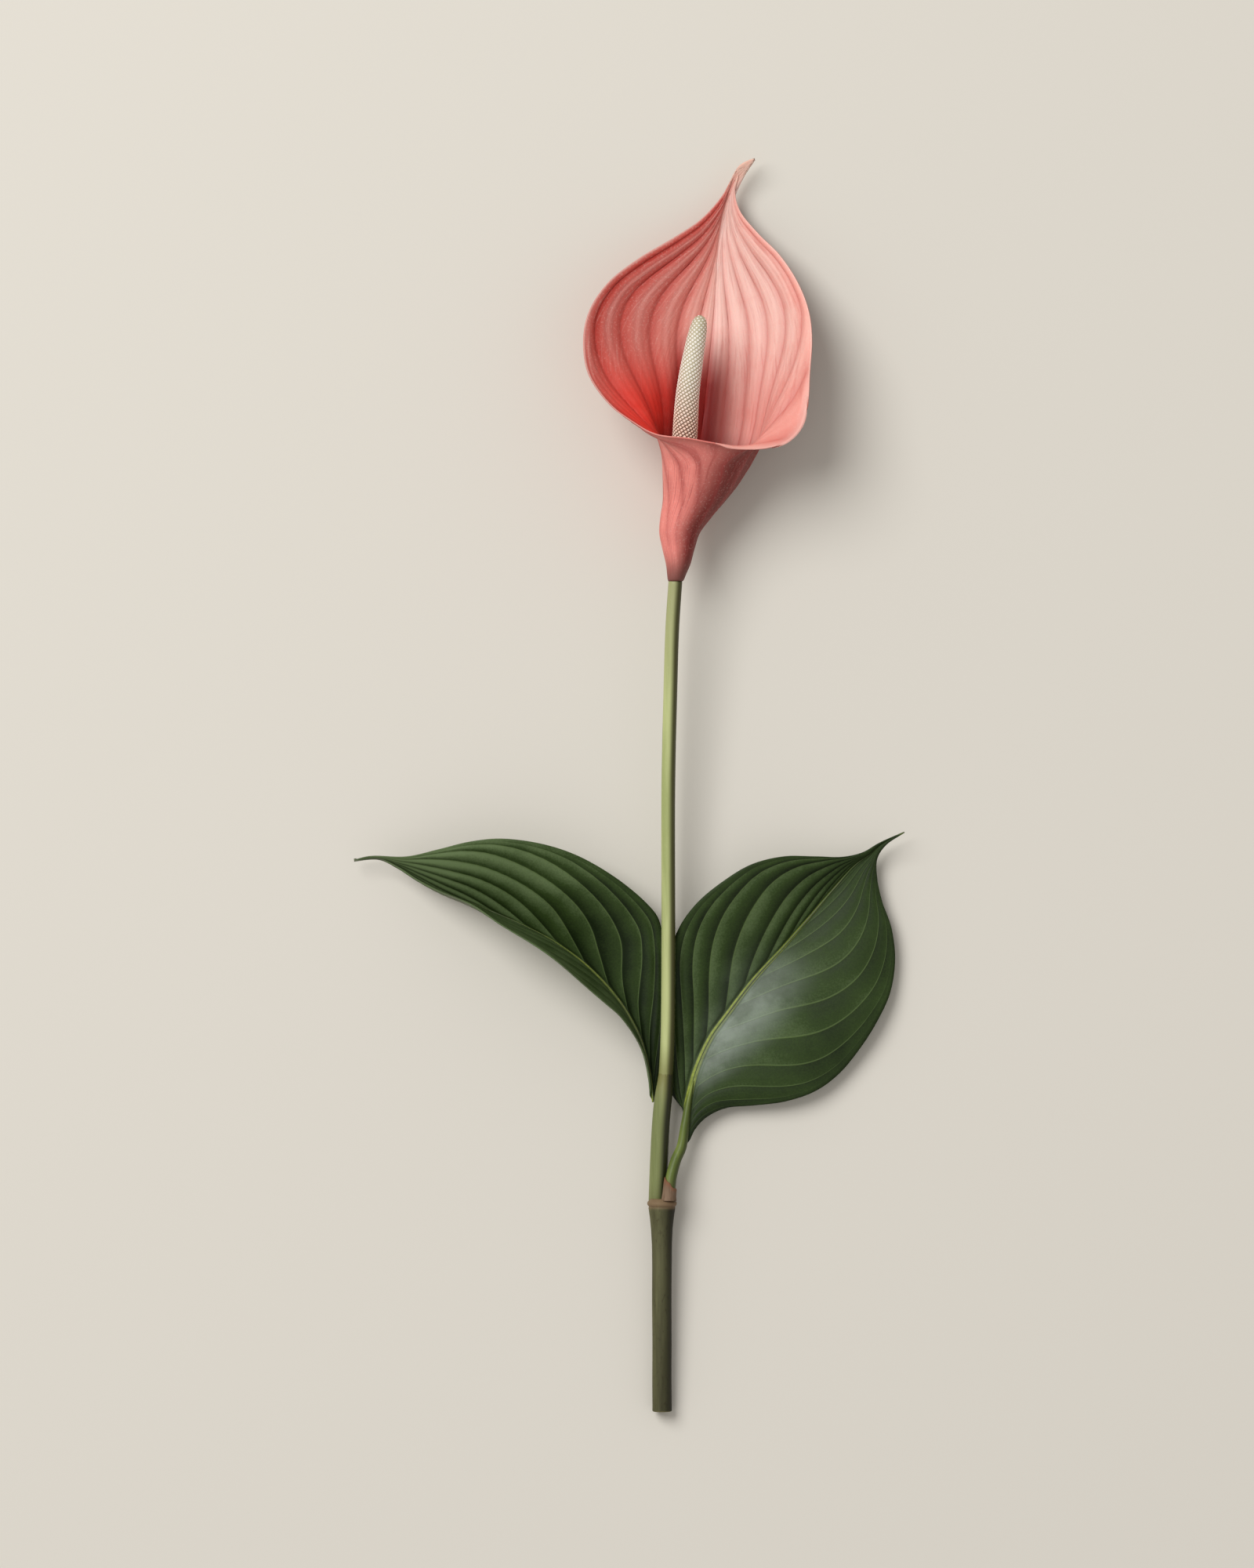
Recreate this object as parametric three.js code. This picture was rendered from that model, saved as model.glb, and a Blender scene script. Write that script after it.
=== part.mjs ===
// A cut anthurium stem lying on a flat surface: a woody cane with one leaf ring, two leaves,
// a slim flower stalk, and a coral hood round a pale spike.
// Millimetres. The stem runs along +Y to the flower, +X is to its right and +Z is up.
// The shapes are built round the middle of the leaf ring, and the last lines move the origin
// to the middle of the underside.
import * as THREE from 'three';

// Driving sizes
const fit = 0.3; // gap between two pieces that touch
const caneLength = 80;
const caneRadius = 3.7;
const ringFlare = 1.8; // how far the leaf ring stands out from the cane
const stalkRadius = 2.65;
const stalkLength = 237; // from the leaf ring to the foot of the flower
const sheathWall = 0.55;
const sheathLength = 48;
const leafStalkRadius = 2.15;
const scaleWall = 0.35;
const scaleLength = 9;
const leafSize = 1; // both leaves, as a share of the outlines below
const bladeThickness = 0.8;
const ribDepth = 1.3; // how far the midrib stands out under a blade, at its thickest
const spatheSize = 1; // the hood, as a share of the outline below
const spatheWall = 0.8;
const spadixRadius = 4.7;
const spadixLength = 99;

// Sizes worked out from them
const sheathRadius = stalkRadius + fit + sheathWall;
const ringRadius = caneRadius + ringFlare;
const footY = 1.5 + fit; // where the sheath and the leaf stalk stand on the leaf ring
const flowerY = footY + stalkLength;
const sheathTopY = footY + sheathLength;
const stemFootZ = sheathRadius + 2.8;
const underBlade = bladeThickness / 2 + fit; // from a blade's middle to a piece that lies on it
const sheathTopZ = 5.3 * leafSize + underBlade + sheathRadius;
const crossingZ = 9 * leafSize + underBlade + stalkRadius;
const flowerZ = 22 * spatheSize;

const vec = (x, y, z) => new THREE.Vector3(x, y, z);
const curveThrough = (points) => new THREE.CatmullRomCurve3(points, false, 'centripetal');

// Straight-line reading of a short table of [place, value] pairs.
function readTable(table, place) {
  let k = 1;
  while (k < table.length - 1 && place > table[k][0]) k += 1;
  const [fromPlace, fromValue] = table[k - 1];
  const [toPlace, toValue] = table[k];
  const share = THREE.MathUtils.clamp((place - fromPlace) / (toPlace - fromPlace), 0, 1);
  return fromValue + (toValue - fromValue) * share;
}

// A closed body from a row of rings with the same number of points. The rings either join up
// round a loop, or the first and the last are capped.
function bodyFromRings(rings, joinedUp) {
  const around = rings[0].length;
  const positions = rings.flat().flatMap((p) => [p.x, p.y, p.z]);
  const index = [];
  const spans = joinedUp ? rings.length : rings.length - 1;
  for (let i = 0; i < spans; i += 1) {
    const near = i * around;
    const far = ((i + 1) % rings.length) * around;
    for (let j = 0; j < around; j += 1) {
      const next = (j + 1) % around;
      index.push(near + j, near + next, far + next);
      index.push(near + j, far + next, far + j);
    }
  }
  if (!joinedUp) {
    for (const [ring, turned] of [[0, true], [rings.length - 1, false]]) {
      const middle = rings[ring].reduce((sum, p) => sum.add(p), vec(0, 0, 0)).divideScalar(around);
      const centre = positions.length / 3;
      positions.push(middle.x, middle.y, middle.z);
      for (let j = 0; j < around; j += 1) {
        const a = ring * around + j;
        const b = ring * around + ((j + 1) % around);
        index.push(centre, turned ? b : a, turned ? a : b);
      }
    }
  }
  const geometry = new THREE.BufferGeometry();
  geometry.setAttribute('position', new THREE.Float32BufferAttribute(positions, 3));
  geometry.setIndex(index);
  geometry.computeVertexNormals();
  return geometry;
}

function discShape(radius, holeRadius = 0) {
  const shape = new THREE.Shape().absarc(0, 0, radius, 0, Math.PI * 2);
  if (holeRadius > 0) shape.holes.push(new THREE.Path().absarc(0, 0, holeRadius, 0, Math.PI * 2));
  return shape;
}

function tubeAlong(path, radius, holeRadius, steps) {
  return new THREE.ExtrudeGeometry(discShape(radius, holeRadius), {
    steps,
    curveSegments: 7,
    extrudePath: path,
    bevelEnabled: false,
  });
}

function mesh(name, geometry, color, roughness) {
  const material = new THREE.MeshStandardMaterial({ color, roughness, metalness: 0 });
  const piece = new THREE.Mesh(geometry, material);
  piece.name = name;
  return piece;
}

// The flower stalk's middle line. Its lower part lies in the sheath, and the rest rises over
// the two blades to the foot of the flower.
function stalkPath() {
  const above = (share) => sheathTopY + (flowerY - sheathTopY) * share;
  return curveThrough([
    vec(-1.2, footY, stemFootZ),
    vec(-0.7, footY + sheathLength * 0.3, THREE.MathUtils.lerp(stemFootZ, sheathTopZ, 0.32)),
    vec(0.2, footY + sheathLength * 0.65, THREE.MathUtils.lerp(stemFootZ, sheathTopZ, 0.68)),
    vec(1.9, sheathTopY, sheathTopZ),
    vec(2.6, above(0.09), THREE.MathUtils.lerp(sheathTopZ, crossingZ, 0.45)),
    vec(2.85, above(0.28), crossingZ + 0.2),
    vec(2.85, above(0.58), THREE.MathUtils.lerp(crossingZ, flowerZ, 0.4)),
    vec(3.6, above(0.77), THREE.MathUtils.lerp(crossingZ, flowerZ, 0.66)),
    vec(4.35, above(0.9), THREE.MathUtils.lerp(crossingZ, flowerZ, 0.85)),
    vec(5.6, flowerY, flowerZ),
  ]);
}

// The part of a path between two places, given as shares of its length.
function stretch(path, from, to, count) {
  const points = [];
  for (let k = 0; k <= count; k += 1) points.push(path.getPointAt(from + ((to - from) * k) / count));
  return curveThrough(points);
}

function flowerStalk() {
  const whole = stalkPath();
  const gap = fit / whole.getLength();
  const path = stretch(whole, gap, 1 - gap, 24);
  return mesh('flower_stalk', tubeAlong(path, stalkRadius, 0, 30), '#96a060', 0.5);
}

function leafSheath() {
  const path = stretch(stalkPath(), 0, sheathLength / stalkPath().getLength(), 6);
  const geometry = tubeAlong(path, sheathRadius, stalkRadius + fit, 10);
  return mesh('leaf_sheath', geometry, '#7c8650', 0.5);
}

// The cane is a turned shape with its cut end square and a raised ring where the leaves grew.
function cane() {
  const top = footY - 2 * fit; // the sheath's foot leans a little
  const profile = [
    [0, -caneLength],
    [caneRadius - 0.3, -caneLength],
    [caneRadius, -caneLength + 0.3],
    [caneRadius, -12],
    [caneRadius + ringFlare * 0.25, -6],
    [caneRadius + ringFlare * 0.7, -2],
    [ringRadius, -0.6],
    [ringRadius, 0.5],
    [ringRadius - 0.7, 1.1],
    [ringRadius - 1, top],
    [0, top],
  ].map(([radius, along]) => new THREE.Vector2(radius, along));
  const piece = mesh('cane', new THREE.LatheGeometry(profile, 20), '#4c4b32', 0.75);
  // Its foot lies on the surface, and its ring is level with the leaf sheath.
  const rise = stemFootZ + 1.3 - caneRadius;
  piece.position.set(0.45, 0, stemFootZ + 1.3);
  piece.rotation.x = Math.asin(rise / caneLength);
  return piece;
}

// The right leaf stalk stands on the ring beside the sheath and runs down into the blade.
const leafStalkOut = (sheathRadius + leafStalkRadius + fit) / Math.SQRT2 + 0.1;
const rightBase = vec(8.1, 22.2, 7.6 * leafSize);

function leafStalkPath() {
  const foot = vec(-1.2 + leafStalkOut, footY + 0.1, stemFootZ + leafStalkOut);
  const end = rightBase.clone().add(vec(-0.2, -0.75, 0.1));
  return curveThrough([
    foot,
    foot.clone().add(vec(0.82, 7.8, -0.46)), // beside the sheath, so it follows the foot
    end.clone().add(vec(-2.1, -4.9, 1.13)),
    end,
  ]);
}

function leafStalkRight() {
  return mesh('leaf_stalk_right', tubeAlong(leafStalkPath(), leafStalkRadius, 0, 8), '#7d8f48', 0.5);
}

// A thin dry scale wraps the side of the leaf stalk's foot that faces away from the sheath.
function footScale() {
  const path = leafStalkPath();
  const inner = leafStalkRadius + fit;
  const outer = inner + scaleWall;
  const rings = [];
  const count = 14;
  for (let k = 0; k <= count; k += 1) {
    const angle = THREE.MathUtils.degToRad(-44 + (228 * k) / count);
    const height = scaleLength * (1 - 0.3 * Math.cos((Math.PI * k) / (2 * count)));
    const at = (radius, along) => path.getPointAt(along / path.getLength())
      .add(vec(radius * Math.cos(angle), 0, radius * Math.sin(angle)));
    rings.push([at(inner, 0), at(outer, 0), at(outer, height - 0.6), at(inner + 0.1, height)]);
  }
  return mesh('foot_scale', bodyFromRings(rings, false), '#8a6a58', 0.8);
}

// Blades. Each half spans from the midrib to a margin, with an arch between them. Both are
// read at the same share of their lengths.
function bladeRings(leaf, rows) {
  const midrib = curveThrough(leaf.midrib);
  const margins = [curveThrough(leaf.leftMargin), curveThrough(leaf.rightMargin)];
  const across = [-1, -0.75, -0.5, -0.25, -0.05, 0, 0.05, 0.25, 0.5, 0.75, 1];
  const place = (along, t) => {
    const side = t < 0 ? 0 : 1;
    const middle = midrib.getPointAt(along);
    const edge = margins[side].getPointAt(along);
    const reach = Math.abs(t);
    const point = middle.clone().lerp(edge, reach);
    const arch = 4 * leaf.arch[side] * reach * (1 - reach) * Math.sin(Math.PI * along);
    return point.addScaledVector(leaf.archWay[side], arch);
  };
  const upward = (along, t) => {
    const step = 0.01;
    const inside = THREE.MathUtils.clamp(along, step, 1 - step);
    const forward = place(inside + step, t).sub(place(inside - step, t));
    const sideways = place(inside, Math.min(t + 0.05, 1)).sub(place(inside, Math.max(t - 0.05, -1)));
    return sideways.cross(forward).normalize();
  };
  const rings = [];
  for (let i = 0; i <= rows; i += 1) {
    const along = 0.993 * (i / rows);
    const taper = 1 - along;
    const top = [];
    const under = [];
    for (const t of across) {
      const rib = t === 0 ? taper : 0;
      const half = bladeThickness / 2;
      top.push(place(along, t).addScaledVector(upward(along, t), half + 0.5 * rib));
      under.push(place(along, t).addScaledVector(upward(along, t), -half - ribDepth * rib));
    }
    rings.push([...top, ...under.reverse()]);
  }
  return rings;
}

// The outlines are drawn from each blade's foot, so a size grows them from there. Points that
// pass under the stem keep their place across it.
function leafPoints(foot, offsets) {
  return offsets.map(([x, y, z]) => vec(foot.x + x * leafSize, foot.y + y * leafSize, z * leafSize));
}

function underStem(foot, offsets) {
  return offsets.map(([x, y, z]) => vec(foot.x + x, foot.y + y * leafSize, z * leafSize));
}

function leafBladeRight() {
  const foot = rightBase;
  const leaf = {
    midrib: leafPoints(foot, [
      [0, 0, 7.6], [2.1, 15.6, 5.6], [5.7, 29.4, 4.2], [11.1, 41.1, 3.2], [17.1, 49.5, 2.6],
      [27.9, 63.6, 1.5], [38.1, 74.7, 1.1], [49.8, 88.2, 1.3], [58.2, 98.1, 2.2], [66.6, 107.4, 3.7],
      [71.9, 111.2, 5], [76, 115, 6.5], [85.2, 119.7, 10],
    ]),
    leftMargin: [
      ...underStem(foot, [
        [-0.9, 0.6, 7.6], [0.4, 14, 5.8], [-1.6, 16.4, 5.2], [-3.8, 19.5, 4.8], [-5.2, 27, 4.8],
        [-5.6, 37, 5], [-5.7, 48, 5.8], [-5.5, 61, 7.2], [-4.6, 73, 8.6],
      ]),
      ...leafPoints(foot, [
        [-1.2, 83, 10.6], [6, 93, 13.4], [16.5, 101.4, 15.6], [27, 107.4, 16], [39, 110.4, 14.4],
        [51, 110.4, 11.6], [61.5, 110.2, 8.6], [69, 111.8, 7], [75.2, 115.2, 7.4], [85.2, 119.7, 10],
      ]),
    ],
    rightMargin: leafPoints(foot, [
      [1, -0.4, 7.6], [2.7, 1.4, 7], [4.8, 5.8, 6.4], [9, 10.4, 6], [16.5, 14, 6], [27, 15, 6.4],
      [39, 16.6, 6.6], [51, 20.6, 6.6], [60, 27, 6.4], [67.5, 36, 6.2], [75, 48, 6],
      [79.8, 58.5, 5.6], [81.6, 70.5, 5.2], [80.1, 82.5, 5], [76.5, 93, 5], [74.7, 102, 5.2],
      [74.7, 109.5, 6], [78, 114.8, 7.6], [85.2, 119.7, 10],
    ]),
    arch: [2, 3.4],
    archWay: [vec(0, 0, 1), vec(0, 0, 1)],
  };
  return mesh('leaf_blade_right', bodyFromRings(bladeRings(leaf, 22), false), '#2f4a26', 0.4);
}

function leafBladeLeft() {
  const foot = vec(-1.2 - sheathRadius + 1.3, sheathTopY - 11.4, 6.4);
  const leaf = {
    midrib: leafPoints(foot, [
      [0, 0, 6.2], [-1.2, 10.5, 5.4], [-4, 22.1, 4.2], [-7, 29.1, 3.3], [-13.6, 39.8, 2.1],
      [-24.6, 51.7, 1.4], [-37.1, 61.1, 1.1], [-49.9, 67.9, 1.2], [-63.6, 73.9, 1.8],
      [-71.6, 77.1, 2.4], [-81.3, 80.9, 3.4], [-89.7, 85.4, 4.4], [-97.4, 90.1, 5.4],
      [-104.9, 93.4, 6.2], [-114.2, 92.5, 6.6],
    ]),
    leftMargin: leafPoints(foot, [
      [-0.3, 0.4, 6.5], [-1.2, 11.5, 10.5], [-4.2, 21.5, 15.5], [-11.9, 32.7, 22], [-17.1, 37.7, 25],
      [-25.5, 45.3, 28], [-34, 52.3, 30], [-46.6, 61.5, 30], [-59.1, 69.5, 27], [-67.6, 74.9, 22],
      [-81.1, 80.9, 15], [-89.8, 85.5, 11.5], [-97.6, 90.3, 9], [-105.6, 93.7, 7.4],
      [-114.2, 92.5, 6.6],
    ]),
    rightMargin: [
      ...underStem(foot, [
        [0.8, 0.2, 6], [2.2, 6, 5.3], [4.2, 14, 5], [5, 27, 5.2], [5.2, 40, 6], [5, 52, 7.2],
        [4.4, 62, 8.4],
      ]),
      ...leafPoints(foot, [
        [2.4, 70.6, 9.4], [-1.6, 75.8, 10.8], [-13.4, 85.8, 15.5], [-28, 94.2, 19], [-42.5, 99, 20.5],
        [-57.5, 101, 20.5], [-69.5, 99.8, 18.5], [-81.5, 96.8, 15.5], [-93.5, 94.1, 12],
        [-108.6, 94.1, 8], [-114.2, 92.5, 6.6],
      ]),
    ],
    arch: [1, 2.6],
    archWay: [vec(-0.5, -0.8, 0.3).normalize(), vec(0, 0, 1)],
  };
  return mesh('leaf_blade_left', bodyFromRings(bladeRings(leaf, 24), false), '#2f4a2a', 0.45);
}

// The hood. A funnel of rings rises from the foot, and from its last ring each line of the
// wall runs on to its place on the rim. Lines are named by their turn round the foot, from
// 0 at the back, where the tip is, to 1 or -1 at the front. All is drawn from the foot.
const hoodFoot = [
  // height, middle x, middle z, room round the stalk or the spike
  [-1.2, 0, 0, 0],
  [5.2, 1, -0.5, 0.6],
  [11.2, 1.1, -1.1, 0.95],
];
const hoodFunnel = [
  // height, middle x, middle z, radius
  [17.2, 1.5, -1.6, 7.9],
  [23.2, 4, -2, 9.9],
  [29.2, 7, -2.2, 11.9],
  [35.2, 9.4, -1.8, 14.2],
  [41.2, 11.2, -1, 16.3],
];
const rimRight = [
  [30.4, 160.6, -12.4], [26.4, 157, -13.4], [23.7, 151.5, -14.4], [23.1, 146, -14.8],
  [25, 140.2, -14.4], [31.6, 132, -12.4], [39.9, 123.5, -8.9], [46.9, 112.5, -3.4], [51, 101, 3.6],
  [52, 89, 9.6], [50.7, 76, 12.6], [49.6, 65, 14.6], [47, 56.6, 17.1], [41.2, 51.2, 19.1],
  [32.4, 49.2, 20.6], [22.4, 49.2, 22.1],
];
const rimFront = [14.4, 50.3, 22.6];
const rimLeft = [
  [3.4, 52.4, 22.1], [-4.6, 53.2, 21], [-10, 54.8, 19.6], [-16.4, 58.8, 17.4], [-25.1, 65.4, 14.6],
  [-33.4, 77.5, 11.6], [-35.2, 91, 8.6], [-32.8, 102, 4.6], [-25.6, 112.8, -0.4], [-14.1, 122, -5.4],
  [-0.1, 130.5, -9.4], [9.6, 137.2, -12.4], [17.6, 146.2, -14.4], [21.6, 152, -14],
  [25.4, 158.2, -13.2],
];
// The way the wall heads as it meets the rim, at even turns from the tip round to the right.
const rimHeading = [
  [0.62, 0.75, 0.25], [0.15, 0.95, 0.28], [0.35, 0.78, 0.5], [0.5, 0.5, 0.7], [0.5, 0.25, 0.82],
  [0.5, 0.05, 0.86], [0.4, -0.3, 0.87], [0.15, -0.5, 0.85], [0, -0.25, 0.97], [-0.15, 0.25, 0.95],
  [-0.4, 0.1, 0.9], [-0.6, 0.1, 0.8], [-0.65, 0.25, 0.72], [-0.6, 0.5, 0.62], [-0.35, 0.8, 0.5],
  [0, 0.95, 0.28],
];

function hoodMaker() {
  const toVec = ([x, y, z]) => vec(x, y, z);
  const rim = new THREE.CatmullRomCurve3([...rimRight, rimFront, ...rimLeft].map(toVec), true);
  const heading = new THREE.CatmullRomCurve3(rimHeading.map(toVec), true, 'catmullrom', 0.5);
  const samples = 600;
  const lengths = rim.getLengths(samples);
  const knots = rimRight.length + 1 + rimLeft.length;
  const front = lengths[Math.round((samples * rimRight.length) / knots)] / lengths[samples];
  const footRadius = stalkRadius + fit + spatheWall;
  const neckRadius = spadixRadius + fit + spatheWall;
  const footRadii = [footRadius, (footRadius + neckRadius) / 2 - 0.1, neckRadius];
  const rings = [
    ...hoodFoot.map(([height, x, z, room], k) => [height, x, z, footRadii[k] + room]),
    ...hoodFunnel.map(([height, x, z, radius]) => [
      height * spatheSize, x * spatheSize, z * spatheSize, radius * spatheSize,
    ]),
  ];
  const ringPoint = ([height, x, z, radius], turn) => {
    const angle = Math.PI * turn;
    return vec(x + radius * Math.sin(angle), height, z - radius * Math.cos(angle));
  };
  // height 0 to 1 is the funnel and 1 to 2 the hood above it
  return (turn, height) => {
    const line = rings.map((ring) => ringPoint(ring, turn));
    if (height <= 1) return curveThrough(line).getPoint(height);
    const start = line[line.length - 1];
    const startWay = start.clone().sub(line[line.length - 2]).normalize();
    const share = turn >= 0 ? turn * front : 1 + turn * (1 - front);
    const end = rim.getPointAt(THREE.MathUtils.clamp(share, 0, 1)).multiplyScalar(spatheSize);
    const endWay = heading.getPoint(((turn + 2) / 2) % 1).normalize();
    const reach = start.distanceTo(end);
    const w = height - 1;
    const w2 = w * w;
    const w3 = w2 * w;
    return start.clone().multiplyScalar(2 * w3 - 3 * w2 + 1)
      .addScaledVector(startWay, reach * (w3 - 2 * w2 + w))
      .addScaledVector(end, 3 * w2 - 2 * w3)
      .addScaledVector(endWay, reach * 0.9 * (w3 - w2));
  };
}

function spathe() {
  const pointAt = hoodMaker();
  const rows = [0, 0.14, 0.28, 0.42, 0.56, 0.7, 0.84, 1];
  for (let k = 1; k <= 9; k += 1) rows.push(1 + k / 9);
  const perSide = 20;
  const turns = [];
  for (let k = -perSide; k < perSide; k += 1) {
    turns.push(Math.sign(k) * Math.pow(Math.abs(k) / perSide, 1.35));
  }
  const outer = turns.map((turn) => rows.map((row) => pointAt(turn, row)));
  const columns = outer.length;
  const last = rows.length - 1;
  const inward = (i, j) => {
    const right = outer[(i + 1) % columns][j].clone().sub(outer[(i + columns - 1) % columns][j]);
    const up = outer[i][Math.min(j + 1, last)].clone().sub(outer[i][Math.max(j - 1, 0)]);
    return right.cross(up).normalize();
  };
  const rings = outer.map((column, i) => {
    const inner = column.map((p, j) => p.clone().addScaledVector(inward(i, j), spatheWall));
    return [...column, ...inner.reverse()];
  });
  const piece = mesh('spathe', bodyFromRings(rings, true), '#de8a7c', 0.55);
  piece.position.set(5.6, flowerY, flowerZ);
  return piece;
}

// The spike stands on the end of the stalk, inside the foot of the hood.
function spadix() {
  const long = spadixLength / 99;
  const path = curveThrough([
    vec(0, fit / 2, 0),
    vec(0.7, 6, -0.4),
    vec(1.5, 20 * long, -0.2),
    vec(3.4, 51.7 * long, 2),
    vec(4.7, 71 * long, 3),
    vec(7, 86 * long, 3.2),
    vec(9.7, 100.4 * long, 3),
  ]);
  const girth = [
    [0, (stalkRadius * 0.9) / spadixRadius], [0.05, 0.64], [0.13, 0.82], [0.4, 1], [0.6, 0.99],
    [0.8, 0.88], [0.93, 0.74], [0.965, 0.66], [0.985, 0.5], [1, 0.2],
  ];
  const sides = 14;
  const rings = girth.map(([share]) => {
    const middle = path.getPointAt(share);
    const way = path.getTangentAt(share);
    const across = vec(0, 0, 1).cross(way).normalize();
    const up = way.clone().cross(across);
    const radius = spadixRadius * readTable(girth, share);
    const ring = [];
    for (let j = 0; j < sides; j += 1) {
      const angle = (2 * Math.PI * j) / sides;
      ring.push(middle.clone()
        .addScaledVector(across, radius * Math.cos(angle))
        .addScaledVector(up, radius * Math.sin(angle)));
    }
    return ring;
  });
  const piece = mesh('spadix', bodyFromRings(rings, false), '#ded6c2', 0.6);
  piece.position.set(5.6, flowerY, flowerZ);
  return piece;
}

const stem = new THREE.Group();
stem.add(cane(), leafSheath(), flowerStalk(), footScale(), leafStalkRight());
stem.add(leafBladeRight(), leafBladeLeft(), spathe(), spadix());

// The origin is the middle of the underside.
const box = new THREE.Box3().setFromObject(stem, true);
const middle = box.getCenter(vec(0, 0, 0));
stem.position.set(-middle.x, -middle.y, -box.min.z);

export default stem;
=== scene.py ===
import math
import bpy
import numpy as np
from mathutils import Matrix, Vector


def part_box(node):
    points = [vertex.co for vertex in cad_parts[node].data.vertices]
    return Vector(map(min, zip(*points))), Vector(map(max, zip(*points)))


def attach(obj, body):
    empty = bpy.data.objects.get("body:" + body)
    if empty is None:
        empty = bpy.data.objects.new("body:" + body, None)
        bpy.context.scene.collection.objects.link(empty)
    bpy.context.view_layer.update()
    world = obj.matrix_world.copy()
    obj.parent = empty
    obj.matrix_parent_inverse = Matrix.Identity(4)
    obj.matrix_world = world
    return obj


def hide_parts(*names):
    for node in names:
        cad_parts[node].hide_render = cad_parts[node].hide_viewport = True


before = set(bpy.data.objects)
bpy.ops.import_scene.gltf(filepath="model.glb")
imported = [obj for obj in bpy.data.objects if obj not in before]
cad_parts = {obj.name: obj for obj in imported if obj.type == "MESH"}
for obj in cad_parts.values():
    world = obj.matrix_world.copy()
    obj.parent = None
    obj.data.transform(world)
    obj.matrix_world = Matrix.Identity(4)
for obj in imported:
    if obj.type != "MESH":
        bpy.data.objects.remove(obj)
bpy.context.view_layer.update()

# Shapes are drawn in millimetres from the middle of the leaf ring, then moved into the frame
caneLow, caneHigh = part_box("cane")
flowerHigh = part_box("spathe")[1]
flowerTip = 399.4  # from the leaf ring to the hood's tip
caneShift = 0.45  # from the leaf ring's middle to the cane's, across
ringMiddle = np.array([
    (caneLow.x + caneHigh.x) * 500 - caneShift,
    flowerHigh.y * 1000 - flowerTip,
    caneLow.z * 1000,
])


def toFrame(points):
    return (np.asarray(points) + ringMiddle) / 1000


# Smooth lines through given points

def smoothPoints(points, closed=False, steps=40):
    points = np.array(points, float)
    count = len(points)
    spans = count if closed else count - 1
    found = []
    for k in range(spans):
        if closed:
            p = [points[(k + j) % count] for j in (-1, 0, 1, 2)]
        else:
            before = points[k - 1] if k > 0 else 2 * points[0] - points[1]
            after = points[k + 2] if k + 2 < count else 2 * points[-1] - points[-2]
            p = [before, points[k], points[k + 1], after]
        gap = [max(np.linalg.norm(p[j + 1] - p[j]), 1e-6) ** 0.5 for j in range(3)]
        leave = (p[1] - p[0]) / gap[0] - (p[2] - p[0]) / (gap[0] + gap[1]) + (p[2] - p[1]) / gap[1]
        arrive = (p[2] - p[1]) / gap[1] - (p[3] - p[1]) / (gap[1] + gap[2]) + (p[3] - p[2]) / gap[2]
        w = np.linspace(0, 1, steps, endpoint=False)[:, None]
        found.append((2 * w**3 - 3 * w**2 + 1) * p[1] + (w**3 - 2 * w**2 + w) * leave * gap[1]
                     + (3 * w**2 - 2 * w**3) * p[2] + (w**3 - w**2) * arrive * gap[1])
    found.append(points[:1] if closed else points[-1:])
    return np.concatenate(found)


def lengthOf(line):
    return np.linalg.norm(np.diff(line, axis=0), axis=1).sum()


def readLine(line, share):
    # a point at each share of the line's length
    lengths = np.concatenate([[0], np.cumsum(np.linalg.norm(np.diff(line, axis=0), axis=1))])
    at = np.asarray(share, float) * lengths[-1]
    return np.stack([np.interp(at, lengths, line[:, k]) for k in range(line.shape[1])], -1)


def readTable(table, place):
    places, values = zip(*table)
    return np.interp(place, places, values)


def softStep(value, low, high):
    share = np.clip((value - low) / (high - low), 0, 1)
    return share * share * (3 - 2 * share)


# Making pieces

def deselectAll():
    bpy.ops.object.select_all(action="DESELECT")


def cornerArray(piece):
    values = np.zeros(len(piece.data.vertices) * 3)
    piece.data.vertices.foreach_get("co", values)
    return values.reshape(-1, 3)


def moveCorners(piece, points):
    piece.data.vertices.foreach_set("co", points.ravel())
    piece.data.update()


def addMark(piece, name, values):
    mark = piece.data.attributes.new(name, "FLOAT", "POINT")
    mark.data.foreach_set("value", np.asarray(values, np.float32))


def gridPiece(name, across, along, place):
    # a flat grid is added and each of its corners is moved to where the form wants it
    deselectAll()
    bpy.ops.mesh.primitive_grid_add(x_subdivisions=across, y_subdivisions=along, size=1)
    piece = bpy.context.object
    piece.name = name
    piece.data.name = name
    flat = cornerArray(piece)
    column = np.rint((flat[:, 0] + 0.5) * across).astype(int)
    row = np.rint((flat[:, 1] + 0.5) * along).astype(int)
    points, marks = place(np.arange(across + 1) / across, np.arange(along + 1) / along)
    moveCorners(piece, toFrame(points[row, column]))
    for markName, values in marks.items():
        addMark(piece, markName, np.broadcast_to(values, points.shape[:2])[row, column])
    return piece


def turnOutwards():
    bpy.ops.object.mode_set(mode="EDIT")
    bpy.ops.mesh.select_all(action="SELECT")
    bpy.ops.mesh.normals_make_consistent(inside=False)
    bpy.ops.object.mode_set(mode="OBJECT")


def weldAndTurn(outward=True):
    bpy.ops.object.mode_set(mode="EDIT")
    bpy.ops.mesh.select_all(action="SELECT")
    bpy.ops.mesh.remove_doubles(threshold=1e-6)
    bpy.ops.object.mode_set(mode="OBJECT")
    if outward:
        turnOutwards()


def giveWall(piece, thickness, offset, group=""):
    wall = piece.modifiers.new("wall", "SOLIDIFY")
    wall.thickness = thickness / 1000
    wall.offset = offset
    wall.use_even_offset = False
    if group:
        wall.vertex_group = group
    bpy.ops.object.modifier_apply(modifier="wall")


def markFarSide(piece, name, firstCount):
    # the corners that a wall added come after the first ones
    addMark(piece, name, np.arange(len(piece.data.vertices)) >= firstCount)


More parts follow.
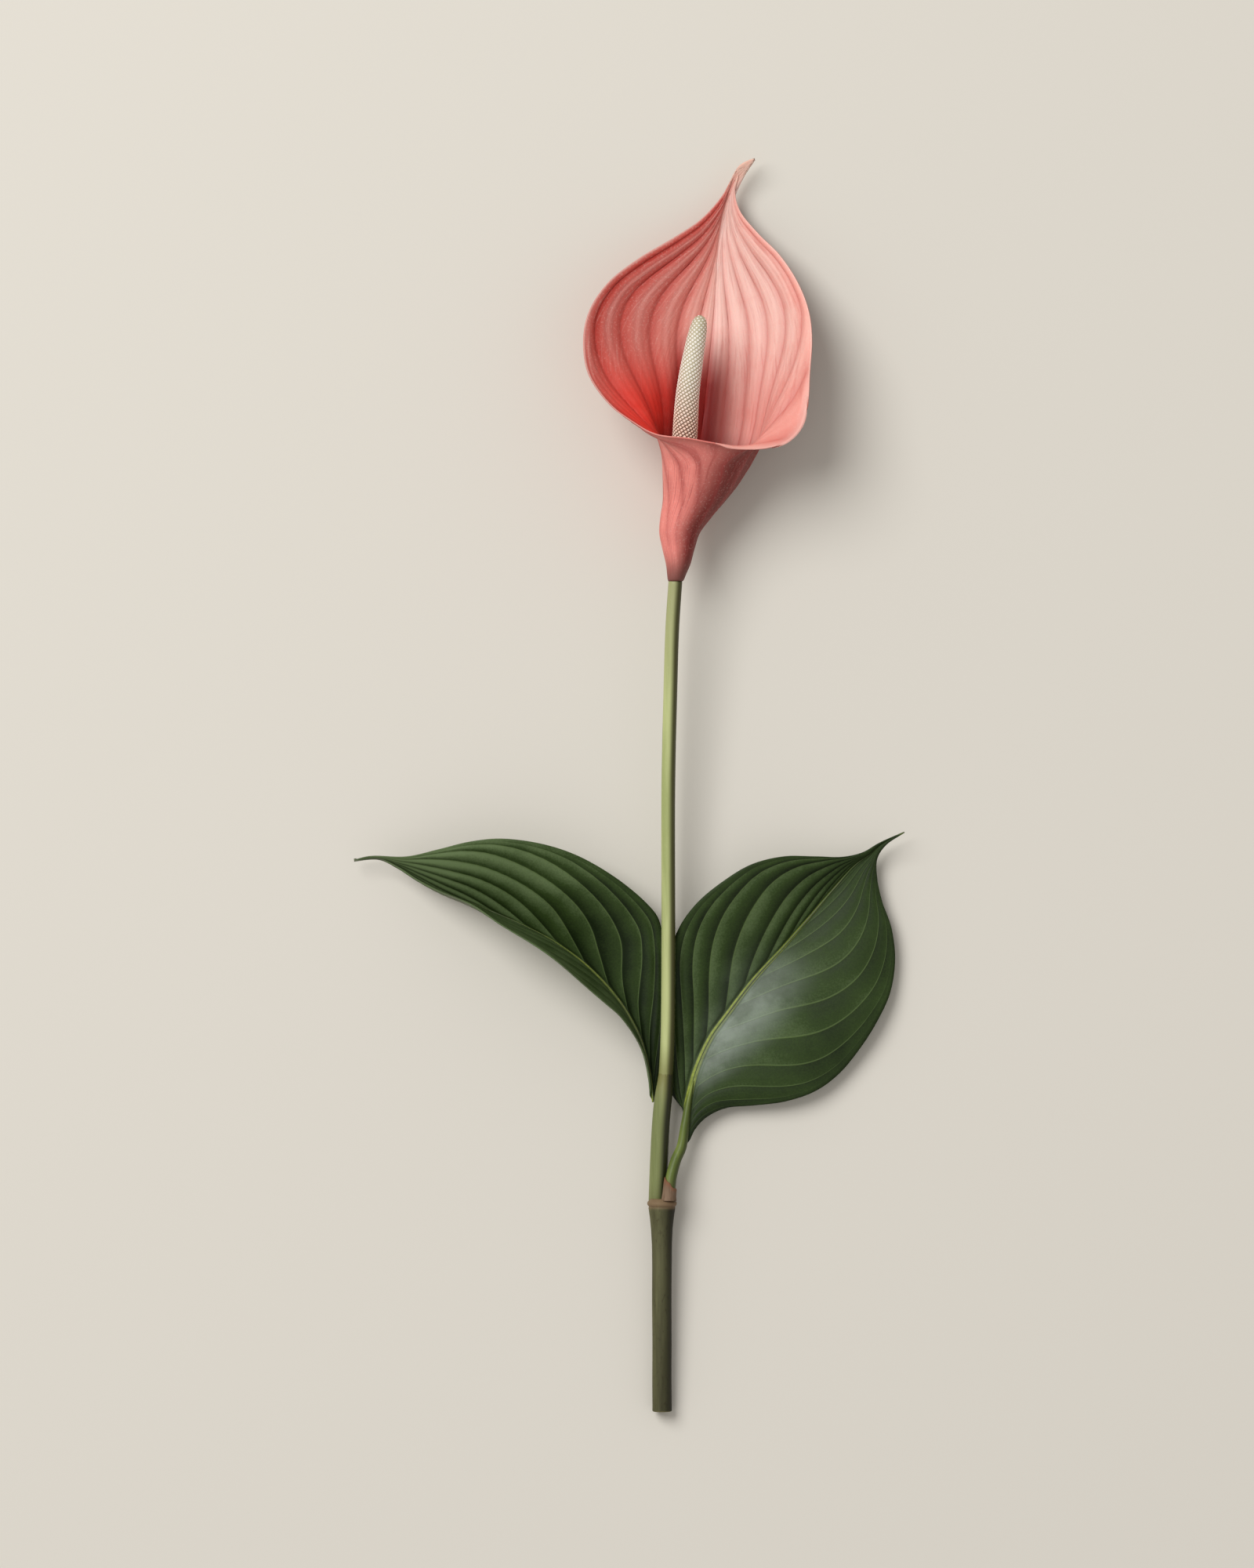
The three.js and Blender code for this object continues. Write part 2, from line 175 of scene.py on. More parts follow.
def finishPiece(piece, material, slot, *nodes):
    deselectAll()
    piece.select_set(True)
    bpy.context.view_layer.objects.active = piece
    bpy.ops.object.shade_smooth()
    piece.data.materials.clear()
    piece.data.materials.append(material)
    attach(piece, "root")
    if nodes:
        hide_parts(*nodes)


def surfaceNormals(points):
    down = np.gradient(points, axis=0)
    across = np.gradient(points, axis=1)
    normal = np.cross(across, down)
    return normal / np.maximum(np.linalg.norm(normal, axis=2, keepdims=True), 1e-9)


# Materials

def colour(red, green, blue):
    values = []
    for part in (red, green, blue):
        part = part / 255
        values.append(part / 12.92 if part <= 0.04045 else ((part + 0.055) / 1.055) ** 2.4)
    return (*values, 1)


drawing = {}  # the node tree of the material being made


def newMaterial(name, roughness, specular):
    material = bpy.data.materials.new(name)
    material.use_nodes = True
    drawing["tree"] = material.node_tree
    shader = material.node_tree.nodes["Principled BSDF"]
    shader.inputs["Roughness"].default_value = roughness
    shader.inputs["Specular IOR Level"].default_value = specular
    return material, shader


def addNode(kind, inputs=None, **settings):
    node = drawing["tree"].nodes.new(kind)
    for key, value in settings.items():
        setattr(node, key, value)
    for key, value in (inputs or {}).items():
        if isinstance(value, bpy.types.NodeSocket):
            drawing["tree"].links.new(value, node.inputs[key])
        else:
            node.inputs[key].default_value = value
    return node


def doMath(operation, first, second=0.0):
    return addNode("ShaderNodeMath", {0: first, 1: second}, operation=operation).outputs[0]


def times(first, second):
    return doMath("MULTIPLY", first, second)


def plus(first, second):
    return doMath("ADD", first, second)


def rangeOf(value, fromMin, fromMax, toMin=0.0, toMax=1.0, kind="SMOOTHSTEP"):
    inputs = {"Value": value, "From Min": fromMin, "From Max": fromMax, "To Min": toMin, "To Max": toMax}
    return addNode("ShaderNodeMapRange", inputs, interpolation_type=kind).outputs[0]


def rangeLine(value, fromMin, fromMax, toMin=0.0, toMax=1.0):
    return rangeOf(value, fromMin, fromMax, toMin, toMax, "LINEAR")


def mixColours(factor, first, second):
    return addNode("ShaderNodeMix", {0: factor, 6: first, 7: second}, data_type="RGBA").outputs[2]


def readMark(name):
    return addNode("ShaderNodeAttribute", attribute_name=name).outputs["Fac"]


def noiseOf(scale, stretch=(1, 1, 1), detail=3.0, roughness=0.55):
    place = addNode("ShaderNodeTexCoord").outputs["Object"]
    mapped = addNode("ShaderNodeMapping", {"Vector": place, "Scale": stretch}).outputs[0]
    inputs = {"Vector": mapped, "Scale": scale, "Detail": detail, "Roughness": roughness}
    return addNode("ShaderNodeTexNoise", inputs).outputs["Fac"]


def addBump(shader, height, strength, distance):
    bump = addNode("ShaderNodeBump", {"Height": height, "Strength": strength, "Distance": distance})
    link(bump.outputs[0], shader, "Normal")


def letLightIn(shader, weight, radius, scale):
    shader.inputs["Subsurface Weight"].default_value = weight
    shader.inputs["Subsurface Radius"].default_value = radius
    shader.inputs["Subsurface Scale"].default_value = scale


def link(output, shader, name):
    drawing["tree"].links.new(output, shader.inputs[name])


# Leaf blades

leafLook = {
    "dark": colour(20, 32, 8),
    "green": colour(48, 66, 26),
    "pale": colour(92, 110, 70),
    "vein": colour(96, 116, 66),
    "rib": colour(150, 162, 62),
    "under": colour(104, 108, 88),
    "roughness": 0.56,
    "paintedSheenColour": colour(150, 162, 148),
    "thickness": 0.5,
    "veinCount": 12.0,
    "veinShow": 0.5,
    "pillow": 0.9,  # how far the blade swells between veins
    "crowding": 1.5,  # how closely the grid's lines stand by the midrib
    "grid": (100, 230),  # faces across a blade and along it
}


def leafMaterial():
    material, shader = newMaterial("leafGreen", leafLook["roughness"], 0.2)
    mottle = noiseOf(90, detail=5)
    broad = noiseOf(22, detail=2)
    grain = noiseOf(1400, detail=2)
    # the tone mark is painted light and shade; the noise adds the blade's own uneven colour
    lightAndTone = plus(readMark("lightAndTone"), rangeOf(broad, 0.3, 0.7, -0.08, 0.08))
    lightAndTone = plus(lightAndTone, rangeOf(mottle, 0.3, 0.7, -0.07, 0.07))
    lightAndTone = plus(lightAndTone, rangeOf(grain, 0.3, 0.7, -0.06, 0.06))
    # painted light and shade: each band between two veins runs from light to dark, as if its swell were
    # lit from the upper left
    count = readMark("veins")
    paintedBandShade = rangeLine(doMath("FRACT", count), 0, 1, 0.34, -0.34)
    lightAndTone = plus(lightAndTone, times(paintedBandShade, readMark("paintedShade")))
    base = mixColours(rangeLine(lightAndTone, 0.0, 0.5), leafLook["dark"], leafLook["green"])
    base = mixColours(rangeLine(lightAndTone, 0.5, 1.0), base, leafLook["pale"])
    # crisp thin veins where the vein count passes a whole number
    part = doMath("FRACT", plus(count, 0.5))
    off = doMath("ABSOLUTE", doMath("SUBTRACT", part, 0.5))
    isVein = rangeOf(off, 0.012, 0.04, 1, 0)
    strength = times(isVein, readMark("veinStrength"))
    base = mixColours(strength, base, leafLook["vein"])
    isRib = rangeOf(readMark("rib"), 0.75, 1.1, 1, 0)
    streaks = rangeOf(noiseOf(500, detail=2), 0.35, 0.7, 0.0, 0.4)
    ribColour = mixColours(streaks, leafLook["rib"], leafLook["green"])
    ribFade = times(isRib, readMark("ribStrength"))
    base = mixColours(ribFade, base, ribColour)
    # the smoothest part has a waxy bloom
    # painted sheen: beside the midrib the colour is lightened towards pale grey-green, where the key
    # light's highlight falls
    paintedSheen = times(readMark("glossAndSheen"), rangeOf(mottle, 0.3, 0.6, 0.3, 0.6))
    base = mixColours(paintedSheen, base, leafLook["paintedSheenColour"])
    underTone = mixColours(rangeOf(mottle, 0.3, 0.7), leafLook["under"], leafLook["pale"])
    base = mixColours(readMark("under"), base, underTone)
    link(base, shader, "Base Color")
    # the same mark also makes the blade smoother there
    glossAndSheen = times(readMark("glossAndSheen"), rangeOf(mottle, 0.25, 0.6, 0.55, 1))
    smooth = times(glossAndSheen, -0.27)
    rough = rangeOf(mottle, 0.3, 0.7, leafLook["roughness"] - 0.03, leafLook["roughness"] + 0.09)
    rough = plus(rough, smooth)
    link(rough, shader, "Roughness")
    letLightIn(shader, 0.06, (0.4, 0.8, 0.2), 0.0008)
    height = plus(times(grain, 0.5), times(isVein, 0.3))
    addBump(shader, height, 0.35, 0.00025)
    return material


def veinStart(along, reach):
    # the share of the midrib at which the vein through each place leaves it
    spread = np.minimum(reach, 0.995) / (1 - np.minimum(reach, 0.995) ** 4) ** 0.25
    found = np.zeros((len(along), len(reach)))
    for row, here in enumerate(along):
        starts = np.linspace(here, -0.9, 400)
        drift = 2.8 * (1 - starts) ** 2.5 * (1 - ((1 - here) / (1 - starts)) ** 1.5)
        found[row] = np.interp(spread, drift, starts)
    return found


def bladeForm(leaf):
    midrib = smoothPoints(leaf["midrib"])
    margins = [smoothPoints(leaf["leftMargin"]), smoothPoints(leaf["rightMargin"])]

    def paintedLightAt(along, t):
        # painted light and shade on the blade, from the listed tones of each half, foot to tip
        places = np.linspace(0, 1, len(leaf["paintedLightTones"][0]))
        left = np.interp(along, places, leaf["paintedLightTones"][0])
        right = np.interp(along, places, leaf["paintedLightTones"][1])
        edge = np.interp(along, places, leaf["paintedLightTones"][2])
        inner = np.where(t > 0, right, left)
        return inner + (edge - 0.5) * softStep(np.abs(t), 0.45, 0.95)

    def glossAndSheenAt(along, t):
        # the blade is smoothest beside the midrib, a third of the way up, and the painted sheen sits there
        # too
        window = softStep(along, 0.1, 0.27) * (1 - softStep(along, 0.4, 0.62))
        return leaf["glossAndSheen"] * window * (1 - softStep(np.abs(t), 0.1, 0.5)) * np.where(t > 0, 1.0, 0.2)

    def place(u, v):
        t = np.sign(u - 0.5) * np.abs(2 * u - 1) ** leafLook["crowding"]

        def bySide(name):
            return np.where(t > 0, leaf[name][1], leaf[name][0])[None, :]

        along = v * 0.9985
        middle = readLine(midrib, along)[:, None, :]
        edges = [readLine(margin, along)[:, None, :] for margin in margins]
        reach = np.abs(t)[None, :]
        isRight = (t > 0)[None, :, None]
        edge = np.where(isRight, edges[1], edges[0])
        points = middle + (edge - middle) * reach[:, :, None]
        bow = 4 * reach * (1 - reach) * np.sin(np.pi * along)[:, None]
        way = np.where(isRight, np.array(leaf["archWay"][1]), np.array(leaf["archWay"][0]))
        points = points + way * (bow * bySide("arch"))[:, :, None]
        halfWidth = np.linalg.norm(edge - middle, axis=2)
        # each vein leaves the midrib somewhere and sweeps along the blade to the tip
        start = veinStart(along, np.abs(t))
        wander = 0.16 * np.sin(8 * along[:, None] + 5 * t[None, :] + leaf["seed"])
        wander = wander * np.minimum(reach * 3, 1)
        sideShift = np.where(t > 0, 0.5, 0)[None, :]
        count = leafLook["veinCount"] * start + wander + sideShift
        part = np.abs(count - np.rint(count)) * 2  # 0 on a vein and 1 midway
        normal = surfaceNormals(points)
        ribHalf = leaf["ribWidth"] * ((1 - along) ** 0.9)[:, None] + 0.22
        fromRib = reach * halfWidth / ribHalf
        step = np.linalg.norm(np.gradient(points, axis=1), axis=2)
        change = np.gradient(count, axis=1) / np.maximum(step, 1e-6)
        spacing = 1 / np.maximum(np.abs(change), 0.01)
        pillowSize = np.minimum(leafLook["pillow"] * bySide("pillowSide"), 0.19 * spacing)
        fade = softStep(fromRib, 0.9, 2.4) * (1 - softStep(reach, 0.88, 1.0))
        relief = pillowSize * (np.sin(part * np.pi / 2) ** 0.8 - 0.45) * fade
        ripple = 0.02 * np.sin(count * 2 * np.pi * 3.0) * fade
        ribRise = leaf["ribRise"] * ((1 - along) ** 0.7)[:, None] * (1 - softStep(fromRib, 0.3, 1.15))
        ribGutter = -0.25 * np.exp(-((fromRib - 1.45) / 0.4) ** 2) * (1 - along)[:, None]
        wave = leaf["wave"] * np.sin(26 * along + leaf["seed"])[:, None] * softStep(reach, 0.55, 1.0)
        wave = wave * np.sin(np.pi * along)[:, None]
        lift = 0.25 + relief + ripple + ribRise + ribGutter + wave
        points = points + normal * lift[:, :, None]
        marks = {
            "veins": count,
            "veinStrength": leafLook["veinShow"] * fade,
            "rib": fromRib,
            "glossAndSheen": glossAndSheenAt(along[:, None], t[None, :]),
            "lightAndTone": paintedLightAt(along[:, None], t[None, :]),
            "paintedShade": fade * bySide("paintedShade"),
            "ribStrength": (1 - 0.55 * softStep(along, 0.3, 0.95))[:, None],
        }
        return points, marks

    return place


def growBlade(name, leaf, material):
    piece = gridPiece(name, *leafLook["grid"], bladeForm(leaf))
    weldAndTurn(outward=False)
    topCount = len(piece.data.vertices)
    giveWall(piece, leafLook["thickness"], -1)
    markFarSide(piece, "under", topCount)
    finishPiece(piece, material, "leaf_green", name.replace("Skin", ""))


rightLeaf = {
    "midrib": [
        (0, 0, 7.6), (2.1, 15.6, 5.6), (5.7, 29.4, 4.2), (11.1, 41.1, 3.2), (17.1, 49.5, 2.6),
        (27.9, 63.6, 1.5), (38.1, 74.7, 1.1), (49.8, 88.2, 1.3), (58.2, 98.1, 2.2), (66.6, 107.4, 3.7),
        (71.9, 111.2, 5), (76, 115, 6.5), (85.2, 119.7, 10),
    ],
    "leftMargin": [
        (-0.9, 0.6, 7.6), (0.4, 14, 5.8), (-1.6, 16.4, 5.2), (-3.8, 19.5, 4.8), (-5.2, 27, 4.8),
        (-5.6, 37, 5), (-5.7, 48, 5.8), (-5.5, 61, 7.2), (-4.6, 73, 8.6), (-1.2, 83, 10.6),
        (6, 93, 13.4), (16.5, 101.4, 15.6), (27, 107.4, 16), (39, 110.4, 14.4), (51, 110.4, 11.6),
        (61.5, 110.2, 8.6), (69, 111.8, 7), (75.2, 115.2, 7.4), (85.2, 119.7, 10),
    ],
    "rightMargin": [
        (1, -0.4, 7.6), (2.7, 1.4, 7), (4.8, 5.8, 6.4), (9, 10.4, 6), (16.5, 14, 6), (27, 15, 6.4),
        (39, 16.6, 6.6), (51, 20.6, 6.6), (60, 27, 6.4), (67.5, 36, 6.2), (75, 48, 6),
        (79.8, 58.5, 5.6), (81.6, 70.5, 5.2), (80.1, 82.5, 5), (76.5, 93, 5), (74.7, 102, 5.2),
        (74.7, 109.5, 6), (78, 114.8, 7.6), (85.2, 119.7, 10),
    ],
    "foot": (8.1, 22.2),  # from the leaf ring's middle
    "arch": (2, 3.4), "archWay": ((0, 0, 1), (0, 0, 1)),  # how far each half bows, and which way
    # the second pair sets how strong each half's painted band shade is
    "pillowSide": (1.0, 0.25), "paintedShade": (1.0, 0.45),  # how strong each half's swells and bands are
    # painted light and shade: left half, right half and edge, from foot to tip
    "paintedLightTones": (
        (0.3, 0.35, 0.5, 0.42, 0.25, 0.2),
        (0.2, 0.4, 0.5, 0.45, 0.3, 0.2),
        (0.3, 0.25, 0.25, 0.4, 0.5, 0.5),
    ),
    "glossAndSheen": 1.0, "ribWidth": 1.35, "ribRise": 0.9, "wave": 0.5, "seed": 0.4,
}
leftLeaf = {
    "midrib": [
        (0, 0, 6.2), (-1.2, 10.5, 5.4), (-4, 22.1, 4.2), (-7, 29.1, 3.3), (-13.6, 39.8, 2.1),
        (-24.6, 51.7, 1.4), (-37.1, 61.1, 1.1), (-49.9, 67.9, 1.2), (-63.6, 73.9, 1.8),
        (-71.6, 77.1, 2.4), (-81.3, 80.9, 3.4), (-89.7, 85.4, 4.4), (-97.4, 90.1, 5.4),
        (-104.9, 93.4, 6.2), (-114.2, 92.5, 6.6),
    ],
    "leftMargin": [
        (-0.3, 0.4, 6.5), (-1.2, 11.5, 10.5), (-4.2, 21.5, 15.5), (-11.9, 32.7, 22), (-17.1, 37.7, 25),
        (-25.5, 45.3, 28), (-34, 52.3, 30), (-46.6, 61.5, 30), (-59.1, 69.5, 27), (-67.6, 74.9, 22),
        (-81.1, 80.9, 15), (-89.8, 85.5, 11.5), (-97.6, 90.3, 9), (-105.6, 93.7, 7.4),
        (-114.2, 92.5, 6.6),
    ],
    "rightMargin": [
        (0.8, 0.2, 6), (2.2, 6, 5.3), (4.2, 14, 5), (5, 27, 5.2), (5.2, 40, 6), (5, 52, 7.2),
        (4.4, 62, 8.4), (2.4, 70.6, 9.4), (-1.6, 75.8, 10.8), (-13.4, 85.8, 15.5), (-28, 94.2, 19),
        (-42.5, 99, 20.5), (-57.5, 101, 20.5), (-69.5, 99.8, 18.5), (-81.5, 96.8, 15.5),
        (-93.5, 94.1, 12), (-108.6, 94.1, 8), (-114.2, 92.5, 6.6),
    ],
    "foot": (-3.4, 38.4),
    "arch": (1, 2.6), "archWay": ((-0.5, -0.8, 0.3), (0, 0, 1)),
    # the second pair sets how strong each half's painted band shade is
    "pillowSide": (0.3, 1.0), "paintedShade": (0.3, 1.0),
    # painted light and shade: left half, right half and edge, from foot to tip
    "paintedLightTones": (
        (0.4, 0.7, 0.7, 0.7, 0.6, 0.6),
        (0.05, 0.1, 0.28, 0.65, 1.0, 1.0),
        (0.5, 0.55, 0.55, 0.5, 0.5, 0.5),
    ),
    "glossAndSheen": 0.0, "ribWidth": 0.8, "ribRise": 0.6, "wave": 0.3, "seed": 2.1,
}
for leaf in (rightLeaf, leftLeaf):
    for line in ("midrib", "leftMargin", "rightMargin"):
        leaf[line] = [(x + leaf["foot"][0], y + leaf["foot"][1], z) for x, y, z in leaf[line]]

leafGreen = leafMaterial()
growBlade("leaf_blade_rightSkin", rightLeaf, leafGreen)
growBlade("leaf_blade_leftSkin", leftLeaf, leafGreen)
print("leaf blades done")


# Tubes: stalks and sheath

def tubeForm(path, radiusAt, ridges=0, ridgeHeight=0.0):
    line = smoothPoints(path)
    roundEnd = 0.004  # the share of the length over which each end closes

    def place(u, share):
        middle = readLine(line, share)
        beyond = readLine(line, np.clip(share + roundEnd, 0, 1))
        ahead = beyond - readLine(line, np.clip(share - roundEnd, 0, 1))
        ahead = ahead / np.linalg.norm(ahead, axis=1, keepdims=True)
        side = np.cross(ahead, np.array([0, 0, 1]))
        side = side / np.linalg.norm(side, axis=1, keepdims=True)
        up = np.cross(side, ahead)
        radius = radiusAt(share) * np.sqrt(np.clip(share / roundEnd, 0, 1))
        radius = radius * np.sqrt(np.clip((1 - share) / roundEnd, 0, 1))
        angle = 2 * np.pi * u
        ridge = 1 + ridgeHeight * np.cos(ridges * angle)[None, :]
        reach = radius[:, None] * ridge
        points = (middle[:, None, :]
                  + side[:, None, :] * (reach * np.cos(angle)[None, :])[:, :, None]
                  + up[:, None, :] * (reach * np.sin(angle)[None, :])[:, :, None])
        return points, {"along": share[:, None], "around": u[None, :]}

    return place


def growTube(name, path, radiusAt, look, slot, around=40, along=160, **shape):
    piece = gridPiece(name, around, along, tubeForm(path, radiusAt, **shape))
    weldAndTurn()
    finishPiece(piece, stalkMaterial(look), slot, name.replace("Skin", ""))


stalkLooks = {
    # each flank colour is painted shade for the side away from the light
    "stalkGreen": {
        "light": colour(192, 198, 138), "dark": colour(158, 166, 106), "start": colour(124, 124, 72),
        "end": colour(156, 156, 112), "paintedShade": colour(60, 58, 20), "startEnds": (0.2, 0.26),
    },
    "sheathGreen": {
        "light": colour(138, 144, 94), "dark": colour(110, 118, 70), "start": colour(108, 112, 68),
        "end": colour(124, 120, 68), "paintedShade": colour(30, 30, 10), "startEnds": (0.0, 0.22),
    },
    "leafStalkGreen": {
        "light": colour(124, 138, 66), "dark": colour(88, 102, 44), "start": colour(124, 104, 80),
        "end": colour(140, 154, 60), "paintedShade": colour(64, 74, 28), "startEnds": (0.0, 0.22),
    },
}


def stalkMaterial(name):
    look = stalkLooks[name]
    material, shader = newMaterial(name, 0.42, 0.3)
    streak = noiseOf(260, (1, 0.04, 1), detail=4)
    speck = noiseOf(1500, (1, 0.5, 1), detail=2)
    base = mixColours(rangeOf(streak, 0.32, 0.7), look["dark"], look["light"])
    along = readMark("along")
    base = mixColours(rangeOf(along, *look["startEnds"], 0.75, 0), base, look["start"])
    base = mixColours(rangeOf(along, 0.75, 1.0, 0, 0.8), base, look["end"])
    base = mixColours(rangeOf(speck, 0.62, 0.75, 0, 0.25), base, look["light"])
    # the flank away from the light grows darker
    paintedShadeSide = doMath("COSINE", times(readMark("around"), 2 * math.pi))
    base = mixColours(rangeOf(paintedShadeSide, -0.15, 0.65, 0, 0.95), base, look["paintedShade"])
    link(base, shader, "Base Color")
    letLightIn(shader, 0.04, (0.6, 1.0, 0.3), 0.001)
    height = plus(streak, times(speck, 0.4))
    addBump(shader, height, 0.3, 0.00025)
    return material


stalk = {
    "path": [
        (-1.2, 1.8, 6.3), (-0.7, 16.2, 7.3), (0.2, 33, 8.42), (1.9, 49.8, 9.5),
        (2.6, 66.8, 10.8), (2.85, 102.7, 12.55), (2.85, 159.4, 16.2), (3.6, 195.3, 18.7),
        (4.35, 219.9, 20.55), (5.6, 238.8, 22),
    ],
    "radius": 2.65,
    "sheathRadius": 3.5,
    "sheathLength": 48.2,
    "length": 237.6,
}


def sheathShare(share):
    # a share of the sheath's length, below 0 where it stands inside the ring
    whole = smoothPoints(stalk["path"])
    inside = readLine(whole, np.clip(share, 0, 1) * stalk["sheathLength"] / stalk["length"])
    below = np.minimum(share, 0)[:, None] * stalk["sheathLength"] * np.array([0.03, 1, 0.07])
    return inside + below


growTube("flower_stalkSkin", stalk["path"], lambda s: stalk["radius"] + 0.25 * (1 - s) ** 6,
         "stalkGreen", "stalk_green", along=300, ridges=9, ridgeHeight=0.006)
growTube("leaf_sheathSkin", sheathShare(np.linspace(-0.035, 1, 12)),
         lambda s: stalk["sheathRadius"] - 0.15 * s - 0.62 * softStep(s, 0.8, 1.0),
         "sheathGreen", "sheath_green", ridges=11, ridgeHeight=0.008)

leafStalkRadius = 2.15
footGap = 0.3
footSpread = (stalk["sheathRadius"] + leafStalkRadius + footGap) / math.sqrt(2) + 0.1
footX, _, footZ = stalk["path"][0]
stalkFoot = np.array([footX + footSpread, 1.9, footZ + footSpread])
stalkEnd = np.array([*rightLeaf["foot"], 7.6]) + (-0.2, -0.75, 0.1)
leafStalk = {
    "path": [
        stalkFoot - (0.1, 1.2, 0.1),
        stalkFoot + (stalkEnd - stalkFoot) * 0.4 + (-1.1, 0, 0.7),
        stalkFoot + (stalkEnd - stalkFoot) * 0.75 + (-0.9, 0, 0.4),
        stalkEnd,
        (9.3, 30, 7.2),
        (10.5, 38, 6.3),
        (12.4, 47, 5.4),
    ],
    "radius": [(0, 2.3), (0.12, 2.2), (0.45, 2.0), (0.62, 1.75), (0.8, 1.3), (1, 0.5)],
}
growTube("leaf_stalk_rightSkin", leafStalk["path"], lambda s: readTable(leafStalk["radius"], s),
         "leafStalkGreen", "leaf_stalk_green", ridges=7, ridgeHeight=0.01)
print("stalks done")


# The dry scale at the leaf stalk's foot

def scaleMaterial():
    material, shader = newMaterial("dryScale", 0.7, 0.3)
    streak = noiseOf(420, (1, 0.12, 1), detail=4)
    base = mixColours(rangeOf(streak, 0.3, 0.7), footScale["dark"], footScale["light"])
    tip = rangeOf(readMark("height"), 0.6, 1.0)
    base = mixColours(times(tip, 0.6), base, footScale["tip"])
    link(base, shader, "Base Color")
    addBump(shader, streak, 0.5, 0.0003)
    return material


footScale = {
    "inner": 2.5, "wall": 0.3, "height": 9.0,
    "from": -44, "to": 184,  # degrees round the leaf stalk
    "grid": (48, 20),
    "dark": colour(84, 62, 44), "light": colour(134, 110, 88), "tip": colour(128, 74, 42),
}


def footScaleForm(u, v):
    line = smoothPoints(leafStalk["path"][:4])
    reach = lengthOf(line)
    angle = np.radians(footScale["from"] + (footScale["to"] - footScale["from"]) * u)
    height = footScale["height"] * (0.5 + 0.5 * softStep(u, 0.3, 0.95))
    height = height * (1 - softStep(u, 0.96, 1.04) * 0.5) + 0.25 * np.sin(u * 23)
    along = v[:, None] * height[None, :] + 0.2
    middle = readLine(line, along / reach)
    radius = footScale["inner"] + 0.35 * (1 - v[:, None]) ** 3 + 0.1 * np.sin(u * 31)[None, :] * v[:, None]
    points = middle + np.stack([radius * np.cos(angle), 0 * along, radius * np.sin(angle)], -1)
    return points, {"height": v[:, None]}


scalePiece = gridPiece("foot_scaleSkin", *footScale["grid"], footScaleForm)
weldAndTurn(outward=False)
giveWall(scalePiece, footScale["wall"], 0)
turnOutwards()
finishPiece(scalePiece, scaleMaterial(), "dry_scale", "foot_scale")


# The cane

cane = {
    "length": 80.0, "radius": 3.75, "chamfer": 0.35,
    # distance from the leaf ring's middle, radius
    "profile": [
        (-79.7, 3.75), (-78, 3.72), (-60, 3.68), (-40, 3.72), (-25, 3.75), (-16, 3.85), (-10, 4.15),
        (-6, 4.55), (-3.2, 4.95), (-1.9, 5.15), (-1.3, 5.0), (-0.9, 5.4), (-0.3, 5.65), (0.3, 5.6),
        (0.7, 5.3), (0.95, 5.0), (1.3, 4.7), (1.7, 4.3),
    ],
    "footHeight": 3.7, "ringHeight": 7.6,
    # the flank colour is painted shade for the side away from the light
    "light": colour(106, 105, 72), "dark": colour(70, 68, 44), "speck": colour(60, 52, 34),
    "paintedShade": colour(22, 20, 10), "ring": colour(132, 106, 80), "cut": colour(150, 140, 96),
}


def caneMaterial():
    material, shader = newMaterial("caneBark", 0.6, 0.2)
    streak = noiseOf(220, (1, 0.06, 1), detail=5)
    speck = noiseOf(900, (1, 0.4, 1), detail=3)
    base = mixColours(rangeOf(streak, 0.3, 0.72), cane["dark"], cane["light"])
    base = mixColours(rangeOf(speck, 0.56, 0.72, 0, 0.5), base, cane["speck"])
    place = addNode("ShaderNodeTexCoord").outputs["Object"]
    x, y = addNode("ShaderNodeSeparateXYZ", {0: place}).outputs[:2]
    ringY = float(ringMiddle[1]) / 1000
    caneX = float(ringMiddle[0] + caneShift) / 1000
    # painted shade: the cane's right side, away from the light, is darkened
    shadedFarSide = rangeOf(x, caneX - 0.003, caneX + 0.0045, 0, 0.92)
    base = mixColours(shadedFarSide, base, cane["paintedShade"])
    nearRing = rangeOf(y, ringY - 0.003, ringY - 0.0008, 0, 0.75)
    base = mixColours(nearRing, base, cane["ring"])
    cut = rangeOf(y, ringY - 0.0803, ringY - 0.0795, 1, 0)
    base = mixColours(cut, base, cane["cut"])
    link(base, shader, "Base Color")
    height = plus(streak, times(speck, 0.5))
    addBump(shader, height, 0.5, 0.0004)
    return material


